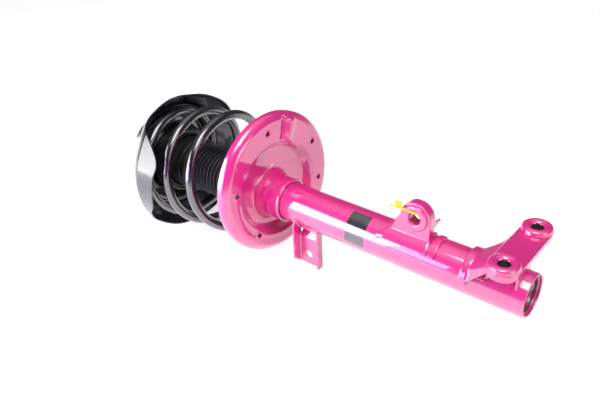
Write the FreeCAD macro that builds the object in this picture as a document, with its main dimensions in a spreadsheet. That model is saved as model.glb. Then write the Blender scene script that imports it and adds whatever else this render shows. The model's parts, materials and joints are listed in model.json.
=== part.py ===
import FreeCAD, Part
import math
import os
import re
import Sketcher
from FreeCAD import Placement, Rotation, Vector

# Strut assembly, millimetres.
# X runs up the strut axis and is counted from the lower end of the outer tube while the pieces are drawn. Every piece is
# then moved so that the origin is the root of the top stud. Z is parallel to the two knuckle bolts and Y to the eye bolt.
# Angles round the strut axis are counted from +Z towards +Y.

SIZES = (
    ("fit_gap", 0.05, "radial gap of a welded or pressed seat"),
    ("run_gap", 0.04, "radial running clearance"),
    ("soft_gap", 0.3, "space round a soft or turning piece"),
    ("tube_r", 25.5, "outer tube: outside radius"),
    ("tube_wall", 2.5, "outer tube: wall"),
    ("tube_length", 404, "outer tube: length"),
    ("base_inset", 9, "base cap: depth of its floor in the tube"),
    ("base_rim", 3, "base cap: depth of its rim in the tube"),
    ("base_wall", 2.5, "base cap: sheet"),
    ("valve_r", 20, "base valve: flange radius"),
    ("valve_flange", 8, "base valve: flange thickness"),
    ("valve_spigot", 8, "base valve: length inside the pressure cylinder"),
    ("valve_bore", 4, "base valve: centre hole radius"),
    ("cylinder_r", 15, "pressure cylinder: bore radius"),
    ("cylinder_wall", 1.5, "pressure cylinder: wall"),
    ("guide_length", 16, "rod guide: length below the seal"),
    ("guide_spigot", 8, "rod guide: length inside the pressure cylinder"),
    ("seal_height", 4, "rod seal: height"),
    ("bush_wall", 1.5, "guide bush: wall"),
    ("cap_top", 4, "tube cap: top thickness"),
    ("cap_wall", 2, "tube cap: wall"),
    ("cap_skirt", 12, "tube cap: length over the tube"),
    ("cap_hole_r", 14, "tube cap: hole round the rod"),
    ("rod_r", 11, "piston rod: radius"),
    ("spigot_r", 6, "piston rod: radius under the piston"),
    ("stud_r", 7, "top stud: radius"),
    ("stud_length", 28, "top stud: length above the mount face"),
    ("shank_r", 6.7, "piston rod: radius between its shoulder and the top stud"),
    ("piston_height", 16, "piston: height"),
    ("piston_gap", 0.3, "piston: clearance under its band"),
    ("band_wall", 1.2, "piston band: thickness"),
    ("band_height", 10, "piston band: height"),
    ("shim_r", 12.5, "valve shims: radius"),
    ("shim_height", 1.2, "valve shims: pack height"),
    ("nut_height", 10, "nuts: height"),
    ("piston_nut_flats", 19, "piston nut: across flats"),
    ("rod_nut_flats", 21, "rod nut: across flats"),
    ("rebound_r", 14, "rebound stop: radius"),
    ("rebound_height", 12, "rebound stop: height"),
    ("seat_x", 54, "lower seat: depth of its ring face below the tube's upper end"),
    ("seat_y", -4.9, "lower seat: sideways place of its centre"),
    ("seat_z", 16.8, "lower seat: upwards place of its centre"),
    ("seat_tilt", 5.71, "lower seat: tilt, degrees"),
    ("seat_sheet", 2.5, "lower seat: sheet"),
    ("seat_flat_r", 84.5, "lower seat: outer radius of the spring channel"),
    ("seat_rim_r", 95.6, "lower seat: rim radius"),
    ("seat_flare", 12, "lower seat: height of the flared flange"),
    ("seat_lip", 3, "lower seat: straight lip of the rim"),
    ("bowl_r", 22, "lower seat: mouth radius of the bowl, inwards from the channel's outer radius"),
    ("bowl_floor_r", 33.5, "lower seat: floor radius of the bowl, inwards from the channel's outer radius"),
    ("bowl_depth", 13, "lower seat: depth of the bowl"),
    ("bowl_shift", 9, "lower seat: shift of the bowl towards the tube"),
    ("neck_r", 31, "lower seat: outside radius of the neck"),
    ("neck_start", 7, "lower seat: reach of the neck below the ring face"),
    ("drain_r", 3.5, "lower seat: drain hole radius"),
    ("drain_circle", 9.5, "lower seat: circle of the drain holes, inwards from the channel's outer radius"),
    ("vent_r", 2.2, "lower seat: vent hole radius"),
    ("vent_circle", 21.8, "lower seat: distance of the vent from the centre"),
    ("stop_height", 4, "lower seat: height of the spring stop"),
    ("stop_width", 9, "lower seat: width of the spring stop"),
    ("collar_r", 29.3, "seat collar: radius"),
    ("collar_length", 16, "seat collar: length"),
    ("pad_low", 9.6, "lower pad: its inner edge, inwards from the channel's outer radius"),
    ("pad_high", 1.5, "lower pad: its outer edge, inwards from the channel's outer radius"),
    ("pad_height", 3, "spring pads: thickness"),
    ("wire_r", 6.5, "coil spring: wire radius"),
    ("coil_r", 5.6, "coil spring: mean radius, inwards from the channel's outer radius"),
    ("coil_pitch", 47.3, "coil spring: pitch of the free turns"),
    ("coil_taper", 0.12, "coil spring: radius lost for each mm above the taper start"),
    ("taper_start", 137.5, "coil spring: where the taper starts, from the lowest wire centre"),
    ("coil_cross", 82.3, "coil spring: place where its second turn crosses angle zero, from the lowest wire centre"),
    ("spring_low", 12.5, "coil spring: lowest wire centre on the seat axis, from the ring face"),
    ("spring_top", 186.5, "coil spring: highest wire centre, from the lowest"),
    ("top_y", 1, "coil spring: sideways place of its upper centre"),
    ("top_z", -2, "coil spring: upwards place of its upper centre"),
    ("low_turn", 698, "coil spring: degrees below the crossing at its lower end"),
    ("high_turn", 985, "coil spring: degrees above the crossing at its upper end"),
    ("steep_pitch", 32, "coil spring: pitch that its lower turn has on top of the free turns'"),
    ("steep_from", 150, "coil spring: degrees below the crossing where the lower turn gets steeper"),
    ("blend_turn", 120, "coil spring: degrees in which the pitch starts and ends"),
    ("close_by", 8, "coil spring: radius lost by the closed upper end"),
    ("close_from", 760, "coil spring: degrees above the crossing where the upper end closes in"),
    ("close_turn", 150, "coil spring: degrees in which the upper end closes in"),
    ("pad_land_r", 12, "upper pad: outer radius of its land, inwards from the channel's outer radius"),
    ("snout_r", 49, "upper pad: outside radius of its raised ring"),
    ("snout_bore", 36.5, "upper pad: bore"),
    ("snout_low", 29.8, "upper pad: reach of its raised ring below its face"),
    ("snout_round", 5, "upper pad: rounding of its raised ring"),
    ("skirt_sheet", 2, "upper seat: sheet"),
    ("skirt_r", 100.5, "upper seat: skirt radius"),
    ("skirt_low", 78.8, "upper seat: depth of the skirt's lowest point below the pad's back"),
    ("skirt_high", 37.8, "upper seat: depth of the skirt wall's upper end below the pad's back"),
    ("shoulder_r", 4.5, "upper seat: shoulder radius, inwards from the channel's outer radius"),
    ("shoulder_x", 8.8, "upper seat: depth of the shoulder below the pad's back"),
    ("hub_r", 56, "upper seat: radius of the raised hub"),
    ("hub_rise", 15, "upper seat: height of the hub above the pad"),
    ("hub_hole_r", 18, "upper seat: hole radius"),
    ("boot_r", 33, "dust boot: rib radius"),
    ("boot_groove_r", 29, "dust boot: groove radius"),
    ("boot_bore", 26.4, "dust boot: bore radius"),
    ("boot_ribs", 12, "dust boot: number of ribs"),
    ("boot_start", 3, "dust boot: lower end of its ribs, from the tube cap"),
    ("boot_cup_x", 67.8, "dust boot: depth of its ribs' upper end below the upper pad's back"),
    ("boot_cup_r", 38, "dust boot: cup radius"),
    ("boot_cup", 20, "dust boot: cup length"),
    ("boot_wall", 4, "dust boot: wall of its cup and neck"),
    ("boot_cuff_r", 31.5, "dust boot: cuff radius"),
    ("boot_cuff", 10, "dust boot: cuff length over the cap"),
    ("bearing_in", 25, "bearing: inner radius"),
    ("bearing_out", 46, "bearing: outer radius"),
    ("race_height", 3, "bearing: race thickness"),
    ("ball_circle", 36, "bearing: ball circle radius"),
    ("ball_r", 2.5, "bearing: ball radius"),
    ("ball_count", 20, "bearing: number of balls"),
    ("groove_depth", 1.2, "bearing: depth of the race grooves"),
    ("cage_height", 1.6, "bearing: cage thickness"),
    ("cage_reach", 5, "bearing: half width of the cage"),
    ("cage_gap", 0.2, "bearing: gap of a ball in the cage"),
    ("plate_r", 57, "mount plate: radius"),
    ("plate_sheet", 2.5, "mount plate: sheet"),
    ("plate_rim", 8, "mount plate: depth of its rim"),
    ("washer_r", 24, "support washer: radius"),
    ("washer_height", 4, "support washer: thickness"),
    ("sleeve_r", 13, "mount sleeve: radius"),
    ("sleeve_height", 18, "mount sleeve: height"),
    ("rubber_r", 47, "mount rubber: lower radius"),
    ("rubber_top_r", 38, "mount rubber: upper radius"),
    ("rubber_height", 15, "mount rubber: height"),
    ("nut_pocket_r", 14, "mount rubber: radius of the pocket round the nut"),
    ("bump_r", 20, "bump stop: radius"),
    ("bump_waist", 15.5, "bump stop: radius of its waist"),
    ("bump_length", 45, "bump stop: length"),
    ("knuckle_x", 27.75, "lower bracket: place of the bolt line"),
    ("knuckle_near", 21, "lower bracket: sideways place of the near bolt"),
    ("knuckle_far", -63, "lower bracket: sideways place of the far bolt"),
    ("knuckle_bolt_r", 6.75, "lower bracket: bolt hole radius"),
    ("boss_r", 15.5, "lower bracket: radius of the boss face"),
    ("boss_base_r", 17.2, "lower bracket: radius of the boss foot"),
    ("boss_face", 45, "lower bracket: height of the boss faces"),
    ("boss_round", 3, "lower bracket: height of the rounded boss edge"),
    ("boss_sleeve_r", 10, "lower bracket: radius of the bush under a boss"),
    ("boss_sleeve", 9, "lower bracket: length of the bush under the arm"),
    ("arm_top", 38.5, "lower bracket: height of the arm"),
    ("arm_r", 17.5, "lower bracket: half width of the arm"),
    ("arm_skirt", 8, "lower bracket: depth of the arm's flange"),
    ("bracket_sheet", 3.2, "brackets: sheet"),
    ("skirt_foot", 30, "lower bracket: height of the near skirt's lower edge"),
    ("skirt_turn", -10, "lower bracket: sideways place where the flange gets deeper"),
    ("web_far", -54, "lower bracket: far end of the web at the arm"),
    ("web_near", 31, "lower bracket: near end of the web at the arm"),
    ("web_tip_far", -52, "lower bracket: far end of the web on the tube, degrees"),
    ("web_tip_near", 81, "lower bracket: near end of the web on the tube, degrees"),
    ("saddle_r", 28.7, "brackets: outside radius of the saddles"),
    ("saddle_end", 64, "lower bracket: upper end of the saddle"),
    ("horn_length", 9, "lower bracket: length of the raised end band"),
    ("horn_r", 29.7, "lower bracket: radius of the raised end band"),
    ("saddle_from", 62, "lower bracket: near edge of the saddle, degrees"),
    ("horn_from", 88, "lower bracket: near edge of the end band, degrees"),
    ("saddle_to", -45, "lower bracket: far edge of the saddle, degrees"),
    ("tab_drop", 27, "lower bracket: drop of the tab under the far boss"),
    ("tab_lean", 11, "lower bracket: lean of the tab"),
    ("tab_width", 12, "lower bracket: width of the tab"),
    ("eye_x", 137.3, "upper bracket: place of the eye"),
    ("eye_z", 50.3, "upper bracket: height of the eye"),
    ("eye_bolt_r", 7.25, "upper bracket: bolt hole radius"),
    ("eye_ring_r", 16, "upper bracket: radius of the raised ring"),
    ("eye_sleeve_r", 10.5, "upper bracket: radius of the bush"),
    ("eye_face", 15, "upper bracket: sideways place of the ring face"),
    ("cup_face", 12, "upper bracket: sideways place of the face plate"),
    ("cup_back", 0, "upper bracket: sideways place of the open back"),
    ("arch_r", 19, "upper bracket: radius of the arch"),
    ("wing_x", 173, "upper bracket: upper end of the wing on the tube"),
    ("wing_z", 14, "upper bracket: height where the wing meets the tube"),
    ("wing_run", 24, "upper bracket: run from the eye to the wing's shoulder"),
    ("wing_drop", 8, "upper bracket: drop from the eye to the wing's shoulder"),
    ("cup_saddle_from", 58, "upper bracket: near edge of the saddle, degrees"),
    ("cup_saddle_to", -20, "upper bracket: far edge of the saddle, degrees"),
    ("strap_x", 106, "upper strap: lower edge"),
    ("strap_width", 8, "upper strap: width"),
    ("strap_r", 28.2, "upper strap: radius"),
    ("spur_length", 14, "upper bracket: length of the spur behind the cup"),
    ("cable_low", 132, "cable bracket: depth of its lower flange below the tube's upper end"),
    ("cable_high", 101, "cable bracket: depth of its upper flange below the tube's upper end"),
    ("cable_sheet", 2.5, "cable bracket: sheet"),
    ("cable_face", 17, "cable bracket: sideways place of the web"),
    ("cable_reach", 30, "cable bracket: sideways reach of the upper flange"),
    ("cable_back", 7, "cable bracket: sideways place of the lower flange's back"),
    ("cable_drop", -74, "cable bracket: lower edge of the web"),
    ("cable_fold", -34, "cable bracket: fold of the web"),
    ("cable_hole_x", 117, "cable bracket: depth of its hole below the tube's upper end"),
    ("cable_hole_z", -59.5, "cable bracket: height of the hole"),
    ("cable_hole_r", 5.25, "cable bracket: hole radius"),
    ("label_low", 197, "label: lower edge"),
    ("label_high", 224, "label: upper edge"),
    ("label_from", 107, "label: near edge, degrees"),
    ("label_to", 12, "label: far edge, degrees"),
    ("label_height", 0.25, "label: thickness"),
    ("tag_x", 150, "tag: middle of the strip"),
    ("tag_rise", 8.7, "tag: height of the strip above the eye"),
    ("tag_length", 38, "tag: length of the strip"),
    ("tag_width", 2.4, "tag: width of the strip"),
    ("tag_height", 0.8, "tag: thickness"),
    ("leaf_x", 157, "tag: place of the leaf"),
    ("leaf_size", 9, "tag: size of the leaf"),
)
VALUES = {name: float(value) for name, value, meaning in SIZES}

# Places that follow from the sizes, as sums of named sizes
TUBE_BORE = "tube_r - tube_wall"
BASE_TOP = "base_inset + base_wall"
CYLINDER_X = BASE_TOP + " + valve_flange"
SEAL_X = "tube_length - seal_height"
GUIDE_X = SEAL_X + " - guide_length + guide_spigot"
GUIDE_LOW = SEAL_X + " - guide_length"
CAP_FACE = "tube_length + cap_top"
PISTON_TOP = GUIDE_LOW + " - run_gap - rebound_height - shim_height"
PISTON_LOW = PISTON_TOP + " - piston_height"
SHIM_LOW = PISTON_LOW + " - shim_height"
PISTON_NUT_LOW = SHIM_LOW + " - nut_height"
RING_FACE = "tube_length - seat_x"
NECK_LOW = RING_FACE + " - neck_start"
WIRE_LOW = RING_FACE + " + spring_low"
WIRE_CROSS = WIRE_LOW + " + coil_cross"
WIRE_TAPER = WIRE_LOW + " + taper_start"
WIRE_TOP = WIRE_LOW + " + spring_top"
PAD_FACE = WIRE_TOP + " + wire_r + soft_gap"
PAD_BACK = PAD_FACE + " + pad_height"
SNOUT_LOW = PAD_FACE + " - snout_low"
SKIRT_LOW = PAD_BACK + " - skirt_low"
SKIRT_HIGH = PAD_BACK + " - skirt_high"
SHOULDER = PAD_BACK + " - shoulder_x"
RIB_LOW = CAP_FACE + " + boot_start"
RIB_HIGH = PAD_BACK + " - boot_cup_x"
PAD_INSIDE = "seat_flat_r - pad_low"
PAD_OUTSIDE = "seat_flat_r - pad_high"
COIL_R = "seat_flat_r - coil_r"
MOUTH_R = "seat_flat_r - bowl_r"
FLOOR_R = "seat_flat_r - bowl_floor_r"
DRAIN_CIRCLE = "seat_flat_r - drain_circle"
SHOULDER_R = "seat_flat_r - shoulder_r"
LAND_R = "seat_flat_r - pad_land_r"
CABLE_LOW = "tube_length - cable_low"
CABLE_HIGH = "tube_length - cable_high"
CABLE_HOLE = "tube_length - cable_hole_x"
HUB_LOW = PAD_BACK + " + hub_rise"
HUB_TOP = HUB_LOW + " + skirt_sheet"
BALL_X = HUB_TOP + " + race_height + ball_r - groove_depth"
RACE_HIGH = BALL_X + " + ball_r - groove_depth"
PLATE_LOW = RACE_HIGH + " + race_height"
PLATE_TOP = PLATE_LOW + " + plate_sheet"
WASHER_TOP = HUB_LOW + " - soft_gap"
WASHER_LOW = WASHER_TOP + " - washer_height"
SLEEVE_TOP = WASHER_TOP + " + sleeve_height"
MOUNT_FACE = PLATE_TOP + " + rubber_height"
STUD_TOP = MOUNT_FACE + " + stud_length"
BUMP_LOW = WASHER_LOW + " - bump_length"

# Angles in degrees, the line that the lower seat leans about, and where a rib starts, crests and ends in its pitch
DRAINS = (-106, -61, 9, 81, 142)
VENT_ANGLE = -5
STOP_ANGLE = -20
SEAT_HINGE = (0, 0.6, -0.8)
RIB_PLACES = (0, 0.3, 0.55, 0.85)

# Rim of the upper seat: pairs of an angle in degrees and the depth of the edge below the shoulder
RIM = (
    (31, 10), (0, 20), (-42, 38), (-71, 30), (-125, 36), (-175, 28), (-198, 27), (-231, 29),
    (-244, 37), (-256, 52), (-269, 59), (-286, 63), (-296, 66), (-306, 51), (-312, 37), (-320, 18),
)

doc = FreeCAD.newDocument("strut_assembly")
sheet = doc.addObject("Spreadsheet::Sheet", "Sizes")
for row, (name, value, meaning) in enumerate(SIZES, start=1):
    sheet.set(f"A{row}", meaning)
    sheet.set(f"B{row}", str(value))
    sheet.setAlias(f"B{row}", name)
doc.recompute()
pieces = []


def amount(text):
    """The number that a sum of named sizes comes to. Each term is a product of names and numbers."""
    total = 0.0
    for term in text.replace(" - ", " + -").split(" + "):
        product = -1.0 if term.startswith("-") else 1.0
        for factor in term.lstrip("-").split(" * "):
            product *= VALUES[factor] if factor in VALUES else float(factor)
        total += product
    return total


def bind(thing, prop, text):
    """Tie one property of an object to a sum of named sizes."""
    thing.setExpression(prop, re.sub(r"[a-z][a-z_]*[a-z]", lambda name: "Sizes." + name.group(), text))


def keep(thing, label):
    """Move a finished piece into the part's frame and give it the name of its file."""
    thing.Label = label
    bind(thing, "Placement.Base.x", "0 - (" + MOUNT_FACE + ")")
    pieces.append(thing)
    return thing


def draw(sketch, outline):
    """Draw a closed outline: points (across, up), or (across, up, radius, side) where an arc leaves the point."""
    count = len(outline)
    points = [Vector(amount(point[0]), amount(point[1]), 0) for point in outline]
    for index, point in enumerate(outline):
        start, end = points[index], points[(index + 1) % count]
        if len(point) == 2:
            sketch.addGeometry(Part.LineSegment(start, end), False)
            sketch.addConstraint(Sketcher.Constraint("DistanceX", -1, 1, index, 1, start.x))
            sketch.addConstraint(Sketcher.Constraint("DistanceY", -1, 1, index, 1, start.y))
            continue
        radius, side = amount(point[2]), point[3]
        half = (end - start) * 0.5
        across = Vector(-half.y, half.x, 0).normalize()
        centre = start + half - across * side * math.sqrt(max(radius**2 - half.Length**2, 0))
        crest = centre + across * side * radius
        sketch.addGeometry(Part.Arc(start, crest, end), False)
        first = 1 if side < 0 else 2
        sketch.addConstraint(Sketcher.Constraint("DistanceX", -1, 1, index, first, start.x))
        sketch.addConstraint(Sketcher.Constraint("DistanceY", -1, 1, index, first, start.y))
    for index, point in enumerate(outline):
        after = outline[(index + 1) % count]
        leave = 1 if len(point) == 4 and point[3] > 0 else 2
        enter = 2 if len(after) == 4 and after[3] > 0 else 1
        sketch.addConstraint(Sketcher.Constraint("Coincident", index, leave, (index + 1) % count, enter))
    for index, point in enumerate(outline):
        bind(sketch, f"Constraints[{2 * index}]", point[0])
        bind(sketch, f"Constraints[{2 * index + 1}]", point[1])
        if len(point) == 4:
            name = sketch.addConstraint(Sketcher.Constraint("Radius", index, amount(point[2])))
            bind(sketch, f"Constraints[{name}]", point[2])


def ring(sketch, across, up, radius):
    """Draw one circle."""
    sketch.addGeometry(Part.Circle(Vector(amount(across), amount(up), 0), Vector(0, 0, 1), amount(radius)), False)
    sketch.addConstraint(Sketcher.Constraint("DistanceX", -1, 1, 0, 3, amount(across)))
    sketch.addConstraint(Sketcher.Constraint("DistanceY", -1, 1, 0, 3, amount(up)))
    sketch.addConstraint(Sketcher.Constraint("Radius", 0, amount(radius)))
    for index, text in enumerate((across, up, radius)):
        bind(sketch, f"Constraints[{index}]", text)


def sketch_on(body, role):
    """Start a sketch on one of the body's own origin planes."""
    sketch = body.newObject("Sketcher::SketchObject", body.Name + "_sketch")
    plane = [feature for feature in body.Origin.OriginFeatures if feature.Role == role][0]
    sketch.AttachmentSupport = [(plane, "")]
    sketch.MapMode = "FlatFace"
    return sketch


def turn(body, outline, kind="Revolution", start="90", sweep="360"):
    """Turn an outline (along X, radius) round the strut axis, from an angle and backwards by a sweep."""
    sketch = sketch_on(body, "XY_Plane")
    if start != "90":
        sketch.AttachmentOffset = Placement(Vector(), Rotation(Vector(1, 0, 0), 90 - amount(start)))
        bind(sketch, "AttachmentOffset.Rotation.Angle", "90 - (" + start + ")")
    draw(sketch, outline)
    feature = body.newObject("PartDesign::" + kind, body.Name + "_turn")
    feature.Profile = sketch
    feature.ReferenceAxis = (sketch, ["H_Axis"])
    bind(feature, "Angle", sweep)
    doc.recompute()
    return feature


def span(body, role, outline, start, end, cut=False):
    """Pad or pocket an outline between two distances along the normal of one of the body's planes."""
    before = body.Shape.Volume if cut else 0
    sketch = sketch_on(body, role)
    if role == "XZ_Plane":
        base = start if cut else end
        bind(sketch, "AttachmentOffset.Base.z", "0 - (" + base + ")")
    else:
        base = end if cut else start
        bind(sketch, "AttachmentOffset.Base.z", base)
    if outline[0] == "circle":
        ring(sketch, *outline[1:])
    else:
        draw(sketch, outline)
    feature = body.newObject("PartDesign::Pocket" if cut else "PartDesign::Pad", body.Name + "_span")
    feature.Profile = sketch
    bind(feature, "Length", f"({end}) - ({start})")
    doc.recompute()
    if cut and feature.Shape.Volume >= before:
        raise ValueError(f"{feature.Name} cuts nothing")
    return feature


def minus(base, text):
    """One sum of named sizes less another."""
    return base + " - " + text.replace(" - ", " # ").replace(" + ", " - ").replace(" # ", " + ")


def box(low, high, bottom, top):
    """The outline of a rectangle."""
    return ((low, bottom), (high, bottom), (high, top), (low, top))


def new_body(label):
    return doc.addObject("PartDesign::Body", label + "_body")


def turned(label, outline):
    """A piece that is one outline turned round the strut axis."""
    body = new_body(label)
    turn(body, outline)
    return keep(body, label)


def tube(label, low, high, inner, outer):
    return turned(label, box(low, high, inner, outer))


def feature_of(label, shape):
    """A piece whose shape is worked out in code from the sheet's sizes."""
    piece = doc.addObject("Part::Feature", label + "_feature")
    piece.Shape = shape
    return piece


def cylinder(radius, low, high, centre=("0", "0"), frame=None):
    """A cylinder along X, or along the axis of a frame, as a helper of a boolean."""
    piece = doc.addObject("Part::Cylinder", "cylinder")
    bind(piece, "Radius", radius)
    bind(piece, "Height", f"({high}) - ({low})")
    place = Placement(Vector(amount(low), amount(centre[0]), amount(centre[1])), Rotation(Vector(0, 1, 0), 90))
    piece.Placement = frame * place if frame else place
    return piece


def cone(low_r, high_r, low, high, centre, frame):
    """A cone along the axis of a frame, as a helper of a boolean."""
    piece = doc.addObject("Part::Cone", "cone")
    bind(piece, "Radius1", low_r)
    bind(piece, "Radius2", high_r)
    bind(piece, "Height", f"({high}) - ({low})")
    place = Placement(Vector(amount(low), amount(centre[0]), amount(centre[1])), Rotation(Vector(0, 1, 0), 90))
    piece.Placement = frame * place
    return piece


def joined(*parts):
    piece = doc.addObject("Part::MultiFuse", "joined")
    piece.Shapes = list(parts)
    return piece


def less(base, tool):
    piece = doc.addObject("Part::Cut", "less")
    piece.Base = base
    piece.Tool = tool
    return piece


def hex_nut(label, low, high, flats, bore):
    """A hexagon nut on the strut axis."""
    prism = doc.addObject("Part::Prism", "prism")
    prism.Polygon = 6
    bind(prism, "Circumradius", f"{flats} * {1 / math.sqrt(3)}")
    bind(prism, "Height", f"({high}) - ({low})")
    prism.Placement = Placement(Vector(amount(low), 0, 0), Rotation(Vector(0, 1, 0), 90))
    return keep(less(prism, cylinder(bore, low, high)), label)


def polar(radius, degrees):
    """A point round the axis at an angle counted from +Z towards +Y."""
    angle = math.radians(degrees)
    return Vector(0, radius * math.sin(angle), radius * math.cos(angle))


# Damper tube with what it holds
def build_tube():
    tube("outer_tube", "0", "tube_length", TUBE_BORE, "tube_r")
    wall = TUBE_BORE + " - fit_gap"
    cup = wall + " - base_wall"
    turned("base_cap", (
        ("base_rim", cup), ("base_rim", wall), (BASE_TOP, wall),
        (BASE_TOP, "0"), ("base_inset", "0"), ("base_inset", cup)))
    spigot = "cylinder_r - fit_gap"
    spigot_top = CYLINDER_X + " + valve_spigot"
    turned("base_valve", (
        (BASE_TOP, "valve_bore"), (BASE_TOP, "valve_r"), (CYLINDER_X, "valve_r"),
        (CYLINDER_X, spigot), (spigot_top, spigot), (spigot_top, "valve_bore")))
    tube("pressure_cylinder", CYLINDER_X, GUIDE_X, "cylinder_r", "cylinder_r + cylinder_wall")
    bush = "rod_r + run_gap + bush_wall"
    turned("rod_guide", (
        (GUIDE_LOW, bush + " + fit_gap"), (GUIDE_LOW, spigot), (GUIDE_X, spigot),
        (GUIDE_X, wall), (SEAL_X, wall), (SEAL_X, bush + " + fit_gap")))
    tube("guide_bush", GUIDE_LOW, SEAL_X, "rod_r + run_gap", bush)
    tube("rod_seal", SEAL_X, "tube_length", "rod_r + run_gap", wall)
    skirt = "tube_r + fit_gap"
    turned("tube_cap", (
        ("tube_length - cap_skirt", skirt), ("tube_length", skirt), ("tube_length", "cap_hole_r"),
        (CAP_FACE, "cap_hole_r"), (CAP_FACE, skirt + " + cap_wall"),
        ("tube_length - cap_skirt", skirt + " + cap_wall")))


# Rod, piston and stops
def build_rod():
    turned("piston_rod", (
        (PISTON_NUT_LOW, "0"), (PISTON_NUT_LOW, "spigot_r"), (PISTON_TOP + " + shim_height", "spigot_r"),
        (PISTON_TOP + " + shim_height", "rod_r"), (WASHER_LOW, "rod_r"), (WASHER_LOW, "shank_r"),
        (MOUNT_FACE, "shank_r"), (MOUNT_FACE, "stud_r"), (STUD_TOP, "stud_r"), (STUD_TOP, "0")))
    piston_r = "cylinder_r - piston_gap"
    hole = "spigot_r + fit_gap"
    band_low = PISTON_LOW + " + 0.5 * piston_height - 0.5 * band_height"
    band_top = band_low + " + band_height"
    turned("piston", (
        (PISTON_LOW, hole), (PISTON_LOW, piston_r), (band_low, piston_r), (band_low, piston_r + " - band_wall"),
        (band_top, piston_r + " - band_wall"), (band_top, piston_r), (PISTON_TOP, piston_r), (PISTON_TOP, hole)))
    tube("piston_band", band_low, band_top, piston_r + " - band_wall", "cylinder_r - run_gap")
    packs = [cylinder("shim_r", low, low + " + shim_height") for low in (SHIM_LOW, PISTON_TOP)]
    keep(less(joined(*packs), cylinder(hole, SHIM_LOW, PISTON_TOP + " + shim_height")), "valve_shims")
    hex_nut("piston_nut", PISTON_NUT_LOW, SHIM_LOW, "piston_nut_flats", hole)
    tube("rebound_stop", PISTON_TOP + " + shim_height", GUIDE_LOW + " - run_gap", "rod_r + fit_gap", "rebound_r")
    bump_bore = "rod_r + soft_gap"
    turned("bump_stop", (
        (BUMP_LOW, bump_bore), (BUMP_LOW, "bump_waist"), (BUMP_LOW + " + 0.3 * bump_length", "bump_r"),
        (BUMP_LOW + " + 0.5 * bump_length", "bump_waist"), (BUMP_LOW + " + 0.7 * bump_length", "bump_r"),
        (WASHER_LOW, "bump_r"), (WASHER_LOW, bump_bore)))
    tube("support_washer", WASHER_LOW, WASHER_TOP, "shank_r + fit_gap", "washer_r")


def seat_frame():
    """The lower seat's own frame: its axis leans, and its origin lies on the ring's lower face."""
    lean = Rotation(Vector(*SEAT_HINGE), VALUES["seat_tilt"])
    return Placement(Vector(amount(RING_FACE), VALUES["seat_y"], VALUES["seat_z"]), lean)


# Lower spring seat: a flanged dish whose bowl and neck are off its centre
def build_seat():
    frame = seat_frame()
    dish = new_body("dish")
    flare = "seat_rim_r - seat_sheet"
    rim = "seat_flare + seat_lip"
    turn(dish, (
        ("0", "0"), ("0", "seat_flat_r"), ("seat_flare", "seat_rim_r"), (rim, "seat_rim_r"), (rim, flare),
        ("seat_flare + 0.4 * seat_sheet", flare), ("seat_sheet", "seat_flat_r - 0.4 * seat_sheet"),
        ("seat_sheet", "0")))
    dish.Placement = frame
    towards = Vector(0, -VALUES["seat_y"], -VALUES["seat_z"]).normalize()
    side = (f"{towards.y} * bowl_shift", f"{towards.z} * bowl_shift")
    deep = "bowl_depth + seat_sheet"
    hat = cone(MOUTH_R + " + seat_sheet", FLOOR_R + " + seat_sheet", "0", deep, side, frame)
    neck_top = RING_FACE + " + bowl_depth + 3 * seat_sheet"
    neck = cylinder("neck_r", NECK_LOW, neck_top)
    level = cylinder("neck_r + neck_r", "0 - 2 * bowl_depth", deep, side, frame)
    neck_cut = doc.addObject("Part::Common", "neck_cut")
    neck_cut.Base = neck
    neck_cut.Tool = level
    cavity = cone(MOUTH_R, FLOOR_R, "0", "bowl_depth", side, frame)
    hollow = cylinder("neck_r - seat_sheet", NECK_LOW + " + seat_sheet", neck_top)
    bore = cylinder("tube_r + fit_gap", NECK_LOW, neck_top)
    stop = doc.addObject("Part::Box", "stop")
    bind(stop, "Length", "stop_height + seat_sheet")
    bind(stop, "Width", "stop_width")
    bind(stop, "Height", "bowl_r - seat_sheet")
    foot = Vector(-VALUES["stop_height"], -VALUES["stop_width"] / 2, amount(MOUTH_R + " + seat_sheet"))
    stop.Placement = frame * Placement(Vector(), Rotation(Vector(1, 0, 0), -STOP_ANGLE)) * Placement(foot, Rotation())
    holes = [hollow, bore]
    for angle in DRAINS:
        spot = polar(amount(DRAIN_CIRCLE), angle)
        holes.append(cylinder("drain_r", "0 - seat_sheet", "2 * seat_sheet", (str(spot.y), str(spot.z)), frame))
    spot = polar(VALUES["vent_circle"], VENT_ANGLE)
    holes.append(cylinder("vent_r", "bowl_depth - seat_sheet", deep, (str(spot.y), str(spot.z)), frame))
    shell = less(joined(dish, hat, stop), cavity)
    keep(less(joined(shell, neck_cut), joined(*holes)), "lower_spring_seat")
    tube("seat_collar", NECK_LOW + " - collar_length", NECK_LOW, "tube_r + fit_gap", "collar_r")
    pad_top = "seat_sheet + pad_height"
    pad = less(
        cylinder(PAD_OUTSIDE, "seat_sheet", pad_top, ("0", "0"), frame),
        cylinder(PAD_INSIDE, "seat_sheet", pad_top, ("0", "0"), frame))
    keep(pad, "lower_spring_pad")


def eased(turned_by):
    """Degrees that count from zero, with their rate growing to one within the blend."""
    blend = VALUES["blend_turn"]
    inside = min(max(turned_by, 0), blend)
    return inside**2 / (2 * blend) + max(turned_by - blend, 0)


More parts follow.
